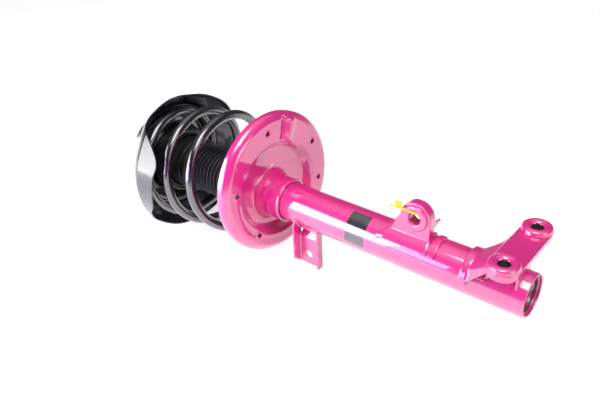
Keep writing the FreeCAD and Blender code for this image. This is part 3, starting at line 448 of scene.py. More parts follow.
class Sheen(Enum):
    """Weight of the clear coat over a finish."""

    NONE = 0.0
    FULL = 1.0


@dataclass(frozen=True)
class Finish:
    """One surface finish with its colour, its grain and its gloss.

    Attributes:
        name: the material's name.
        colour: main colour, linear.
        second: colour of its darker or dustier places, linear.
        rough: mean roughness.
        spread: how far the roughness varies.
        metal: metallic share.
        coat: clear coat.
        coat_rough: roughness of the clear coat.
        coat_index: refractive index of the clear coat.
        patch: size of the colour patches, millimetres.
        grain: size of the bump grain, millimetres.
        depth: depth of the grain, millimetres.
        stretch: how far the grain is drawn out round the axis, 1 for none.
        patch_edge: noise values between which the main colour turns into the second.
        patch_gloss: share of the spread that follows the colour patches.
    """

    name: str
    colour: tuple[float, float, float]
    second: tuple[float, float, float]
    rough: float = 0.4
    spread: float = 0.08
    metal: float = 0.0
    coat: Sheen = Sheen.NONE
    coat_rough: float = 0.05
    coat_index: float = 1.5
    patch: float = 30.0
    grain: float = 1.5
    depth: float = 0.02
    stretch: float = 1.0
    patch_edge: tuple[float, float] = (0.38, 0.66)
    patch_gloss: float = 0.7

    def material(self) -> bpy.types.Material:
        """Build the finish as a node material, once.

        Returns:
            The material.
        """
        if self.name in bpy.data.materials:
            return bpy.data.materials[self.name]
        made = bpy.data.materials.new(self.name)
        made.use_nodes = True
        made.node_tree.nodes.clear()
        tree = Tree(made.node_tree)
        spot = tree.out(tree.node("ShaderNodeTexCoord"), "Object")
        drawn = tree.out(tree.node(
            "ShaderNodeMapping", Vector=spot, Scale=(self.stretch, 1 / self.stretch, 1 / self.stretch)))
        patches = tree.noise(spot, self.patch, 4, 0.55).clipped(*self.patch_edge)
        fine = tree.noise(drawn, self.grain, 2)
        # The colours of a Mix node are its sockets 6 and 7, and their mix is its output 2
        tint = tree.out(tree.node(
            "ShaderNodeMix", {"data_type": "RGBA"}, Factor=patches, at6=(*self.colour, 1),
            at7=(*self.second, 1)), 2)
        gloss = (self.rough + (fine - 0.5) * self.spread
                 + (patches - 0.5) * (self.spread * self.patch_gloss))
        shader = tree.node(
            "ShaderNodeBsdfPrincipled", Base_Color=tint, Roughness=gloss, Metallic=self.metal,
            Normal=tree.bump(fine, self.depth), Coat_Weight=self.coat.value, Coat_Roughness=self.coat_rough,
            Coat_IOR=self.coat_index)
        tree.node("ShaderNodeOutputMaterial", Surface=tree.out(shader))
        return made


MAGENTA = Finish("magenta paint", (0.76, 0.020, 0.23), (0.66, 0.015, 0.21), 0.34, 0.06, coat=Sheen.FULL,
                 coat_rough=0.03, coat_index=2.1, patch=60, grain=1.1, depth=0.004)
GLOSS_BLACK = Finish("gloss black spring paint", (0.006, 0.006, 0.008), (0.010, 0.010, 0.013), 0.25, 0.08,
                     coat=Sheen.FULL, coat_rough=0.03, coat_index=2.1, patch=25, grain=0.9, depth=0.004)
SATIN_BLACK = Finish("satin black seat paint", (0.012, 0.013, 0.018), (0.018, 0.019, 0.026), 0.30, 0.10,
                     coat=Sheen.FULL, coat_rough=0.12, coat_index=1.7, patch=45, grain=1.3, depth=0.008)
RUBBER = Finish("black rubber", (0.012, 0.012, 0.014), (0.022, 0.022, 0.024), 0.48, 0.16, patch=18,
                grain=0.8, depth=0.02)
POLISHED_RUBBER = Finish("smooth moulded rubber", (0.010, 0.010, 0.012), (0.018, 0.018, 0.020), 0.22, 0.12,
                         coat=Sheen.FULL, coat_rough=0.08, coat_index=1.9, patch=16, grain=1.0, depth=0.012)
ZINC = Finish("zinc plate", (0.62, 0.61, 0.58), (0.50, 0.50, 0.49), 0.30, 0.14, 1.0, patch=9, grain=0.7,
              depth=0.012)
STEEL = Finish("turned steel", (0.50, 0.50, 0.51), (0.40, 0.40, 0.42), 0.28, 0.12, 1.0, patch=14, grain=0.5,
               depth=0.008, stretch=5)
SINTERED = Finish("sintered iron", (0.16, 0.16, 0.165), (0.11, 0.11, 0.115), 0.55, 0.15, 0.9, patch=6,
                  grain=0.5, depth=0.03)
CHROME = Finish("hard chrome", (0.78, 0.79, 0.81), (0.72, 0.73, 0.76), 0.07, 0.04, 1.0, patch=20, grain=0.4,
                depth=0.002, stretch=6)
FOAM = Finish("cellular foam", (0.62, 0.53, 0.27), (0.50, 0.42, 0.20), 0.75, 0.12, patch=7, grain=0.9,
              depth=0.10)
BAND = Finish("grey bearing band", (0.05, 0.055, 0.06), (0.08, 0.085, 0.09), 0.5, 0.1, patch=6, grain=0.6,
              depth=0.01)
CAGE = Finish("ivory cage plastic", (0.62, 0.57, 0.44), (0.54, 0.49, 0.37), 0.42, 0.1, patch=8, grain=0.7,
              depth=0.008)
LABEL = Finish("dark label film", (0.018, 0.018, 0.022), (0.03, 0.03, 0.035), 0.16, 0.05, coat=Sheen.FULL,
               coat_rough=0.03, coat_index=2.1, patch=12, grain=2.5, depth=0.006)
# Dark colour of the sleeves in the bolt holes: painted shade
BORE_SHADE = Finish("painted shade in bolt holes", (0.020, 0.012, 0.015), (0.035, 0.020, 0.025), 0.5, 0.1, patch=8, grain=0.6,
              depth=0.01)
# Darker magenta for the cup in the tube's end: painted shade
END_CUP_SHADE = Finish("painted shade in the tube's end", (0.30, 0.012, 0.09), (0.20, 0.010, 0.06), 0.32, 0.08,
             coat=Sheen.FULL, coat_rough=0.04, coat_index=2.1, patch=14, grain=0.9, depth=0.01)
YELLOW = Finish("yellow marker strip", (0.86, 0.62, 0.0), (0.78, 0.52, 0.0), 0.45, 0.1, patch=6, grain=0.6,
                depth=0.01)

# Finishes of the solids that have no finer piece
NODE_FINISH = {
    "base_valve": SINTERED, "pressure_cylinder": STEEL, "rod_guide": SINTERED, "guide_bush": BAND,
    "rod_seal": RUBBER, "tube_cap": ZINC, "piston": SINTERED, "piston_band": BAND, "valve_shims": STEEL,
    "piston_nut": STEEL, "rebound_stop": FOAM, "support_washer": STEEL, "mount_sleeve": STEEL,
    "bearing_lower_race": STEEL, "bearing_upper_race": STEEL, "bearing_cage": CAGE, "bearing_balls": CHROME,
    "mount_plate": ZINC,
}


def dress(thing: bpy.types.Object, finish: Finish) -> bpy.types.Object:
    """Give an object one finish.

    Args:
        thing: the object.
        finish: its finish.

    Returns:
        The object.
    """
    thing.data.materials.clear()
    thing.data.materials.append(finish.material())
    return thing


def place(thing: bpy.types.Object, body: str, slot: str, finish: Finish, *nodes: str) -> bpy.types.Object:
    """Dress a piece, put it on its body and let it stand for the solids that it replaces.

    Args:
        thing: the piece.
        body: the CAD body that it rides on.
        slot: the record's material slot; not used.
        finish: its finish.
        *nodes: the CAD nodes that it stands for.

    Returns:
        The piece.
    """
    dress(thing, finish)
    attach(thing, body)
    if nodes:
        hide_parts(*nodes)
    LOG.info("%s: %d faces", thing.name, len(thing.data.polygons))
    return thing


def painted(thing: bpy.types.Object, *nodes: str) -> bpy.types.Object:
    """Place a magenta piece of the damper."""
    return place(thing, "damper", "pink_paint", MAGENTA, *nodes)


def softened(name: str, node: str, voxel: float, rounds: int) -> bpy.types.Object:
    """A stamped or welded piece: its solid's own form, with every edge rolled over by pressing and paint.

    Args:
        name: the new piece's name.
        node: the CAD node that it is made from.
        voxel: size of the mesh, millimetres.
        rounds: how often the mesh is eased.

    Returns:
        The piece.
    """
    work = bmesh.new()
    work.from_mesh(frame["nodes"][node].data)
    bmesh.ops.remove_doubles(work, verts=work.verts, dist=MERGE)
    mesh = bpy.data.meshes.new(name)
    work.to_mesh(mesh)
    work.free()
    thing = new_object(name, mesh)
    remesh = thing.modifiers.new("skin", "REMESH")
    remesh.mode = "VOXEL"
    remesh.voxel_size = voxel * MM
    ease = thing.modifiers.new("ease", "SMOOTH")
    ease.factor = 0.5
    ease.iterations = rounds
    return shaded(applied(thing))


class Recipe:
    """A Geometry Nodes tree with named inputs, whose result becomes a plain mesh."""

    def __init__(self, name: str, inputs: dict[str, tuple[str, object]]) -> None:
        """Start a tree.

        Args:
            name: the tree's name.
            inputs: socket type and default value for each named input.
        """
        self.group = bpy.data.node_groups.new(name, "GeometryNodeTree")
        face = self.group.interface
        face.new_socket("Geometry", in_out="INPUT", socket_type="NodeSocketGeometry")
        for label, (kind, value) in inputs.items():
            socket = face.new_socket(label, in_out="INPUT", socket_type=kind)
            if value is not None:
                socket.default_value = value
        face.new_socket("Geometry", in_out="OUTPUT", socket_type="NodeSocketGeometry")
        self.tree = Tree(self.group)
        self.start = self.tree.node("NodeGroupInput")

    def given(self, label: str) -> Value:
        """One of the tree's inputs."""
        return self.tree.out(self.start, label)

    def finish(self, geometry: Value, finish: Finish) -> None:
        """End the tree in Realize Instances and Set Material.

        Args:
            geometry: what the tree made.
            finish: the finish that it gets.
        """
        tree = self.tree
        real = tree.out(tree.node("GeometryNodeRealizeInstances", Geometry=geometry))
        smoothed = tree.out(tree.node("GeometryNodeSetShadeSmooth", Geometry=real))
        dressed = tree.node("GeometryNodeSetMaterial", Geometry=smoothed, Material=finish.material())
        tree.node("NodeGroupOutput", Geometry=tree.out(dressed))

    def run(self, name: str, thing: bpy.types.Object, values: dict[str, object]) -> bpy.types.Object:
        """Run the tree on an object and keep the result as a plain mesh.

        Args:
            name: the new piece's name.
            thing: the object that feeds the tree, which is removed.
            values: values of the named inputs.

        Returns:
            The piece.
        """
        modifier = thing.modifiers.new("recipe", "NODES")
        modifier.node_group = self.group
        for item in self.group.interface.items_tree:
            if item.in_out == "INPUT" and item.name in values:
                modifier[item.identifier] = values[item.name]
        mesh = evaluated(thing)
        bpy.data.objects.remove(thing)
        return new_object(name, mesh)


def swept_recipe(finish: Finish) -> Recipe:
    """A round bar along a curve: the spring's wire.

    Args:
        finish: the bar's finish.

    Returns:
        The recipe.
    """
    recipe = Recipe("round bar", {"Bar Radius": ("NodeSocketFloat", 0.001), "Sides": ("NodeSocketInt", 20)})
    tree = recipe.tree
    circle = tree.out(tree.node(
        "GeometryNodeCurvePrimitiveCircle", Resolution=recipe.given("Sides"),
        Radius=recipe.given("Bar Radius")))
    path = tree.out(tree.node("GeometryNodeSetCurveNormal", Curve=recipe.given("Geometry")))
    bar = tree.node("GeometryNodeCurveToMesh", Curve=path, Profile_Curve=circle, Fill_Caps=True)
    recipe.finish(tree.out(bar), finish)
    return recipe


def stacked_recipe(finish: Finish) -> Recipe:
    """One ring repeated along X and welded to the pieces at its ends: the ribs of the boot.

    Args:
        finish: the rings' finish.

    Returns:
        The recipe.
    """
    recipe = Recipe("stacked rings", {
        "Ring": ("NodeSocketObject", None), "Count": ("NodeSocketInt", 3),
        "Pitch": ("NodeSocketFloat", 0.01), "Weld": ("NodeSocketFloat", 2e-5)})
    tree = recipe.tree
    step = tree.out(tree.node("ShaderNodeCombineXYZ", X=recipe.given("Pitch")))
    line = tree.node("GeometryNodeMeshLine", {"mode": "OFFSET"}, Count=recipe.given("Count"), Offset=step)
    ring = tree.out(tree.node("GeometryNodeObjectInfo", Object=recipe.given("Ring")), "Geometry")
    copies = tree.node("GeometryNodeInstanceOnPoints", Points=tree.out(line), Instance=ring)
    real = tree.out(tree.node("GeometryNodeRealizeInstances", Geometry=tree.out(copies)))
    rest = tree.node("GeometryNodeJoinGeometry")
    for part in (real, recipe.given("Geometry")):
        tree.tree.links.new(part.socket, rest.inputs[0])
    welded = tree.node(
        "GeometryNodeMergeByDistance", Geometry=tree.out(rest), Distance=recipe.given("Weld"))
    recipe.finish(tree.out(welded), finish)
    return recipe


def bead_recipe(finish: Finish) -> Recipe:
    """A weld bead: round drops of uneven size, set close together along a curve.

    Args:
        finish: the bead's finish.

    Returns:
        The recipe.
    """
    recipe = Recipe("weld bead", {
        "Drop": ("NodeSocketFloat", 0.0015), "Step": ("NodeSocketFloat", 0.001),
        "Seed": ("NodeSocketInt", 3)})
    tree = recipe.tree
    spots = tree.out(tree.node(
        "GeometryNodeCurveToPoints", {"mode": "LENGTH"}, Curve=recipe.given("Geometry"),
        Length=recipe.given("Step")), "Points")
    ball = tree.out(tree.node("GeometryNodeMeshIcoSphere", Radius=recipe.given("Drop"), Subdivisions=2))
    # Sockets 2 and 3 of a random value are its least and its greatest number, and output 1 is the number
    size = tree.out(tree.node(
        "FunctionNodeRandomValue", {"data_type": "FLOAT"}, Seed=recipe.given("Seed"), at2=0.85,
        at3=1.15), 1)
    copies = tree.node("GeometryNodeInstanceOnPoints", Points=spots, Instance=ball, Scale=size)
    recipe.finish(tree.out(copies), finish)
    return recipe


def polyline(points: np.ndarray) -> bpy.types.Object:
    """A curve object through points in millimetres.

    Args:
        points: the points.

    Returns:
        The curve.
    """
    curve = bpy.data.curves.new("path", "CURVE")
    curve.dimensions = "3D"
    spline = curve.splines.new("POLY")
    spline.points.add(len(points) - 1)
    spline.points.foreach_set("co", np.c_[metres(points), np.ones(len(points))].ravel())
    return new_object("path", curve)


def stroke() -> float:
    """The compression joint's travel in millimetres."""
    found = [joint for joint in frame["joints"] if joint["name"] == "compression"]
    return -found[0]["range_m"][0] / MM


def shortened(thing: bpy.types.Object, low: float, high: float) -> None:
    """Give a soft piece its own mesh. The share of its length left at full compression is worked out and
    not used.

    Args:
        thing: the piece.
        low: where it starts along the strut, millimetres.
        high: where it ends.
    """
    length = high - low
    (length - stroke()) / length
    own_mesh(thing)


@dataclass
class Damper:
    """The damper tube with its open end, the cup in that end and the collar under the seat."""

    radius: float = 25.5
    wall: float = 2.5
    length: float = 404.0
    lip: float = 1.1
    cup_floor: float = 9.0
    cup_rim: float = 3.0
    cup_wall: float = 2.5
    dome_rise: float = 2.0
    dome_r: float = 9.0
    dome_foot_r: float = 13.0
    collar_low: float = 327.0
    collar_high: float = 343.0
    collar_r: float = 29.3

    def build(self) -> None:
        """Make the tube, the cup in its end and the collar under the seat."""
        inner = self.radius - self.wall
        painted(turned("damper_tube", rounded((
            (0, self.radius, self.lip), (self.length, self.radius, 0.5), (self.length, inner, 0.5),
            (0, inner, self.lip))), 128), "outer_tube")
        cup, outer = inner - self.cup_wall, inner - GAP
        floor, back, dome = self.cup_floor, self.cup_floor + self.cup_wall, self.cup_floor - self.dome_rise
        cap = turned("end_cup", rounded((
            (self.cup_rim, cup, 1.2), (self.cup_rim, outer, 1.0), (back, outer), (back, 0.4), (dome, 0.4),
            (dome, self.dome_r, 3), (floor, self.dome_foot_r, 3), (floor, cup, 3.5))), 96)
        # The cup is dressed in a darker magenta: painted shade inside the tube's open end
        place(cap, "damper", "pink_paint", END_CUP_SHADE, "base_cap")
        low, bore = self.collar_low, self.radius + GAP
        painted(turned("seat_ring", rounded((
            (low + 2, bore, 0.6), (low, self.radius + 1.4, 0.8), (low + 0.6, self.collar_r - 0.4, 0.8),
            (low + 3, self.collar_r, 2), (self.collar_high, self.collar_r), (self.collar_high, bore))),
            128), "seat_collar")


@dataclass
class LowerSeat:
    """The flanged dish that carries the spring, with its channel, bowl, stop, holes and pad.

    The place of the fold is counted in widths of the stop, and the pocket's ends in degrees past the stop.
    """

    origin: tuple[float, float, float] = (350.0, -4.9, 16.8)
    tilt: float = 5.71
    sheet: float = 2.5
    rim_r: float = 95.6
    flat_r: float = 84.5
    flare: float = 15.0
    mouth_r: float = 65.5
    floor_r: float = 54.0
    depth: float = 14.0
    shift: float = 7.0
    foot_r: float = 34.5
    neck_r: float = 31.0
    neck_end: float = 343.0
    press: float = 0.6
    stop_angle: float = -20.0
    stop_height: float = 5.0
    stop_width: float = 5.5
    stop_fade: float = 6.0
    fold_depth: float = 4.5
    fold_width: float = 1.6
    fold_place: float = 1.5
    pocket_depth: float = 0.8
    pocket_from: float = -8.0
    pocket_to: float = 62.0
    pocket_edge: float = 15.0
    pad_low: float = 74.9
    pad_high: float = 83.0
    pad_height: float = 2.7
    pad_gap: float = 0.1
    drains: tuple[float, ...] = (-106, -61, 9, 81, 142)
    drain_circle: float = 75.0
    drain_r: float = 3.5
    vent_angle: float = -5.0
    vent_circle: float = 21.8
    vent_r: float = 2.2

    def place_of(self, local: np.ndarray) -> np.ndarray:
        """Move points from the seat's leaning frame to the strut's."""
        turn = np.array(Matrix.Rotation(math.radians(self.tilt), 3, Vector((0, 0.6, -0.8))))
        return local @ turn.T + np.array(self.origin)

    def past_stop(self, angles: np.ndarray) -> np.ndarray:
        """Degrees from the stop, from -180 to 180."""
        return np.mod(angles - self.stop_angle + 180, 360) - 180

    def channel(self, angles: np.ndarray) -> np.ndarray:
        """Depth of the spring channel round the seat, with a shallow pocket past the stop.

        Args:
            angles: degrees round the seat.

        Returns:
            The depth at each angle, millimetres.
        """
        past = self.past_stop(angles)
        begins = smooth(past, self.pocket_from, self.pocket_from + self.pocket_edge)
        ends = smooth(past, self.pocket_to, self.pocket_to - self.pocket_edge)
        return self.press + self.pocket_depth * begins * ends

    def stop(self, radius: float, angles: np.ndarray) -> np.ndarray:
        """Height of the spring stop round the seat at one radius, less the fold beside it.

        Args:
            radius: distance from the seat's axis.
            angles: degrees round the seat.

        Returns:
            The height at each angle, millimetres.
        """
        past = self.past_stop(angles)
        fold_at = self.fold_place * self.stop_width
        bead = self.stop_height * np.exp(-(past / self.stop_width) ** 2)
        fold = self.fold_depth * np.exp(-((past - fold_at) / self.fold_width) ** 2)
        outer_end = smooth(radius, self.rim_r - 1, self.flat_r)
        inner_end = smooth(radius, self.mouth_r - self.stop_fade, self.mouth_r)
        return (bead - fold) * (outer_end * inner_end)

    def surface(self, nominal: np.ndarray, angles: np.ndarray) -> np.ndarray:
        """Rings of the dish.

        Args:
            nominal: outline of (radius, height) from the rim inwards.
            angles: degrees round the seat.

        Returns:
            Rings of points.
        """
        to_tube = np.array((-self.origin[1], -self.origin[2]))
        bowl = to_tube / np.linalg.norm(to_tube) * self.shift
        rings = []
        for radius, height in nominal:
            centre = bowl * smooth(radius, self.flat_r, self.mouth_r + 1)
            centre = centre + (to_tube - bowl) * smooth(radius, self.floor_r, self.foot_r)
            in_channel = smooth(radius, self.flat_r + 3, self.flat_r - 1.5) * smooth(
                radius, self.mouth_r + 0.5, self.mouth_r + 4)
            rise = height + in_channel * self.channel(angles) - self.stop(radius, angles)
            leaning = self.place_of(ring_at(rise, radius, angles) + np.array((0, *centre)))
            upright = ring_at(self.origin[0] + height, radius, angles)
            level = smooth(radius, self.foot_r, self.neck_r + 0.5)
            rings.append(leaning * (1 - level) + upright * level)
        return np.stack(rings)

    def outline(self) -> np.ndarray:
        """Nominal outline of the visible face from the rim to the neck's end."""
        corners = rounded((
            (self.rim_r, self.flare), (self.rim_r, 7.5, 5), (self.flat_r + 2.5, 0, 8), (self.mouth_r, 0, 8),
            (self.floor_r, self.depth, 5), (self.foot_r, self.depth, 3), (self.neck_r, self.depth - 5, 4),
            (self.neck_r, self.neck_end - self.origin[0])), 7, closed=False)
        return refined(corners, 2.2)

    def columns(self) -> np.ndarray:
        """Angles of the mesh round the seat, closer together at the stop and its fold."""
        fine = self.stop_angle + np.linspace(-9, 15, 97)
        coarse = np.linspace(fine[-1], fine[0] + 360, 376)[1:-1]
        return np.concatenate([fine, coarse])

    def build(self) -> None:
        """Make the dish with its holes, and the rubber pad on it."""
        angles = self.columns()
        dish = tidy(loft("lower_seat_dish", self.surface(self.outline(), angles), closed=False), 60)
        walled(dish, self.sheet, self.outward(dish))
        for angle in self.drains:
            cut(dish, self.punch(angle, self.drain_circle, self.drain_r, 0))
        cut(dish, self.punch(self.vent_angle, self.vent_circle, self.vent_r, self.depth))
        painted(tidy(dish, 40), "lower_spring_seat")
        for angle in self.drains:
            painted(self.lip(angle))
        low = self.sheet + self.pad_gap
        top = low + self.pad_height
        cushion = rounded((
            (self.pad_high, low), (self.pad_high, top, 1.2), (self.pad_low, top, 1.2),
            (self.pad_low, low)), 5)
        pad = tidy(loft("lower_seat_pad", self.surface(cushion, angles)))
        place(pad, "damper", "rubber", RUBBER, "lower_spring_pad")

    def outward(self, dish: bpy.types.Object) -> float:
        """Which way the wall grows from the visible face, read from the faces of the flat channel.

        Args:
            dish: the dish before it has a wall.

        Returns:
            The offset of the wall.
        """
        lean = math.cos(math.radians(self.tilt))
        flat = [face for face in dish.data.polygons if abs(abs(face.normal.x) - lean) < 0.02]
        return -1.0 if sum(face.normal.x * face.area for face in flat) < 0 else 1.0

    def punch(self, angle: float, circle: float, radius: float, base: float) -> bpy.types.Object:
        """A round punch that reaches well past both faces of the sheet."""
        return self.tube_at(f"punch_{angle}", angle, circle, np.array((
            (base - 12, radius), (base + 16, radius))), capped=True)

    def lip(self, angle: float) -> bpy.types.Object:
        """The pressed edge round a drain hole.

        Args:
            angle: degrees of the hole round the seat.

        Returns:
            The edge.
        """
        sheet = float(self.channel(np.array([angle]))[0])
        high, low, bore = sheet - 0.5, sheet + 0.3, self.drain_r + GAP
        edge = rounded((
            (high, bore, 0.3), (high, self.drain_r + 0.9, 0.3), (low, self.drain_r + 2.2, 0.4),
            (low, bore, 0.3)), 4)
        return self.tube_at(f"drain_lip_{int(angle) % 360}", angle, self.drain_circle, edge)

    def tube_at(self, name: str, angle: float, circle: float, outline: np.ndarray,
                capped: bool = False) -> bpy.types.Object:
        """Turn an outline round a line through the sheet.

        Args:
            name: the object's name.
            angle: degrees of the line round the seat.
            circle: distance of the line from the seat's axis.
            outline: heights and radii.
            capped: whether both ends are closed, as on a punch.

        Returns:
            The object.
        """
        turn = ring_angles(32)
        centre = ring_at(0, circle, np.array([angle]))[0]
        rings = np.stack([ring_at(height, radius, turn) + centre for height, radius in outline])
        thing = loft(name, self.place_of(rings.reshape(-1, 3)).reshape(rings.shape), closed=not capped)
        if capped:
            work = bmesh.new()
            work.from_mesh(thing.data)
            bmesh.ops.holes_fill(work, edges=work.edges, sides=0)
            work.to_mesh(thing.data)
            work.free()
        return tidy(thing)


@dataclass
class Spring:
    """The coil spring: a flat lower end, a steeper first rise, even turns and a closed upper end."""

    wire_r: float = 6.5
    coil_r: float = 78.9
    pitch: float = 47.3
    steep: float = 32.0
    steep_from: float = 150.0
    taper: float = 0.12
    taper_start: float = 500.0
    cross: float = 444.8
    low_x: float = 362.5
    top_x: float = 549.0
    top_centre: tuple[float, float] = (1.0, -2.0)
    low_turn: float = 698.0
    high_turn: float = 985.0
    blend: float = 120.0
    close_by: float = 8.0
    close_from: float = 760.0
    close_turn: float = 150.0

    def eased(self, turned_by: np.ndarray) -> np.ndarray:
        """Degrees that count from zero, with their rate growing to one within the blend."""
        inside = np.clip(turned_by, 0, self.blend)
        return inside**2 / (2 * self.blend) + np.maximum(turned_by - self.blend, 0)

    def path(self, seat: LowerSeat) -> np.ndarray:
        """Points of the wire's centre line.

        Args:
            seat: the lower seat, whose lean the first turn follows.

        Returns:
            Points from the lower end to the upper end.
        """
        turned_by = np.linspace(-self.low_turn, self.high_turn, 900)
        rate, steep, half = self.pitch / 360, self.steep / 360, self.blend / 2
        low_flat = (self.low_x - self.cross - steep * self.steep_from) / (rate + steep) - half
        high_flat = (self.top_x - self.cross) / rate + half
        x = self.cross + rate * turned_by - steep * self.eased(half - turned_by - self.steep_from)
        low = self.low_x + (rate + steep) * self.eased(turned_by - low_flat)
        x = np.where(turned_by < low_flat + self.blend, low, x)
        high = self.top_x - rate * self.eased(high_flat - turned_by)
        x = np.where(turned_by > high_flat - self.blend, high, x)
        radius = self.coil_r - self.taper * np.maximum(x - self.taper_start, 0)
        radius = radius - self.close_by * np.clip((turned_by - self.close_from) / self.close_turn, 0, 1)
        share = np.clip((x - self.low_x) / (self.top_x - self.low_x), 0, 1)
        base = seat.place_of(np.zeros((1, 3)))[0]
        axis = seat.place_of(np.array([[1.0, 0, 0]]))[0] - base
        centre = base + axis * (self.low_x - seat.origin[0])
        angle = np.radians(-turned_by)
        across, up = radius * np.sin(angle), radius * np.cos(angle)
        lean = (1 - share) * -(axis[1] * across + axis[2] * up) / axis[0]
        y = centre[1] * (1 - share) + self.top_centre[0] * share + across
        z = centre[2] * (1 - share) + self.top_centre[1] * share + up
        return np.stack([x + lean + (centre[0] - self.low_x) * (1 - share), y, z], axis=1)

    def build(self, seat: LowerSeat) -> None:
        """Make the wire.

        Args:
            seat: the seat that it stands on.
        """
        wire = swept_recipe(GLOSS_BLACK).run(
            "coil_spring_wire", polyline(self.path(seat)), {"Bar Radius": self.wire_r * MM, "Sides": 28})
        tidy(wire, 50)
        place(wire, "damper", "spring_paint", GLOSS_BLACK, "coil_spring")
        shortened(wire, self.low_x, self.top_x)


@dataclass
class Boot:
    """The ribbed dust boot with its cup, neck and cuff."""

    rib_r: float = 33.0
    groove_r: float = 29.0
    bore: float = 26.4
    ribs: int = 12
    start: float = 411.0
    end: float = 491.0
    cup_r: float = 38.0
    cup: float = 20.0
    neck_r: float = 36.2
    top: float = 558.8
    cuff_r: float = 31.5
    cuff_low: float = 394.0
    cuff_bore: float = 27.9
    cuff_end: float = 408.3
    wall: float = 4.0

    def build(self) -> None:
        """Make the boot from one repeated rib, a cuff and a cup."""
        start, pitch = self.start, (self.end - self.start) / self.ribs
        rib = turned("boot_rib", rounded((
            (start, self.groove_r), (start + 0.18 * pitch, self.groove_r, 0.7),
            (start + 0.36 * pitch, self.rib_r, 1.2), (start + 0.60 * pitch, self.rib_r, 1.2),
            (start + 0.84 * pitch, self.groove_r, 0.9), (start + pitch, self.groove_r)), 4, closed=False),
            72, closed=False)
        ends = turned("boot_ends", rounded(self.cuff() + self.cup_inside() + self.cup_outside(), 5,
                                           closed=False), 72, closed=False)
        boot = stacked_recipe(RUBBER).run("dust_boot_rubber", ends, {
            "Ring": rib, "Count": self.ribs, "Pitch": pitch * MM})
        bpy.data.objects.remove(rib)
        place(tidy(boot, 60), "damper", "rubber", RUBBER, "dust_boot")
        shortened(boot, self.cuff_low, self.top)

    def cuff(self) -> tuple[tuple[float, ...], ...]:
        """Corners of the cuff, from the first rib down its outside and up its bore."""
        low, radius = self.cuff_low, self.cuff_r
        return (
            (self.start, self.groove_r), (self.start - 1, self.groove_r, 0.6), (self.start - 2, radius, 1),
            (low + 5, radius, 1), (low + 4, radius + 1, 1), (low + 1, radius + 1, 1), (low, radius, 0.6),
            (low, self.cuff_bore), (self.cuff_end, self.cuff_bore, 1), (self.cuff_end, self.bore))

    def cup_inside(self) -> tuple[tuple[float, ...], ...]:
        """Corners of the bore, the inside of the cup and the inside of the neck."""
        high, cup, neck = self.end + self.cup, self.cup_r - self.wall, self.neck_r - self.wall
        return ((self.end, self.bore), (self.end + 8, cup, 3), (high, cup, 2), (high + 4, neck, 2),
                (self.top, neck))

    def cup_outside(self) -> tuple[tuple[float, ...], ...]:
        """Corners of the outside of the neck and of the cup with its groove, down to the last rib."""
        high, cup = self.end + self.cup, self.cup_r
        return (
            (self.top, self.neck_r), (high + 3.5, self.neck_r, 1.5), (high, cup, 2.5), (high - 5, cup, 1),
            (high - 6, cup - 1, 1), (high - 8, cup - 1, 1), (high - 9, cup, 1), (self.end + 5, cup, 3),
            (self.end + 1.2, self.groove_r, 1.5), (self.end, self.groove_r))


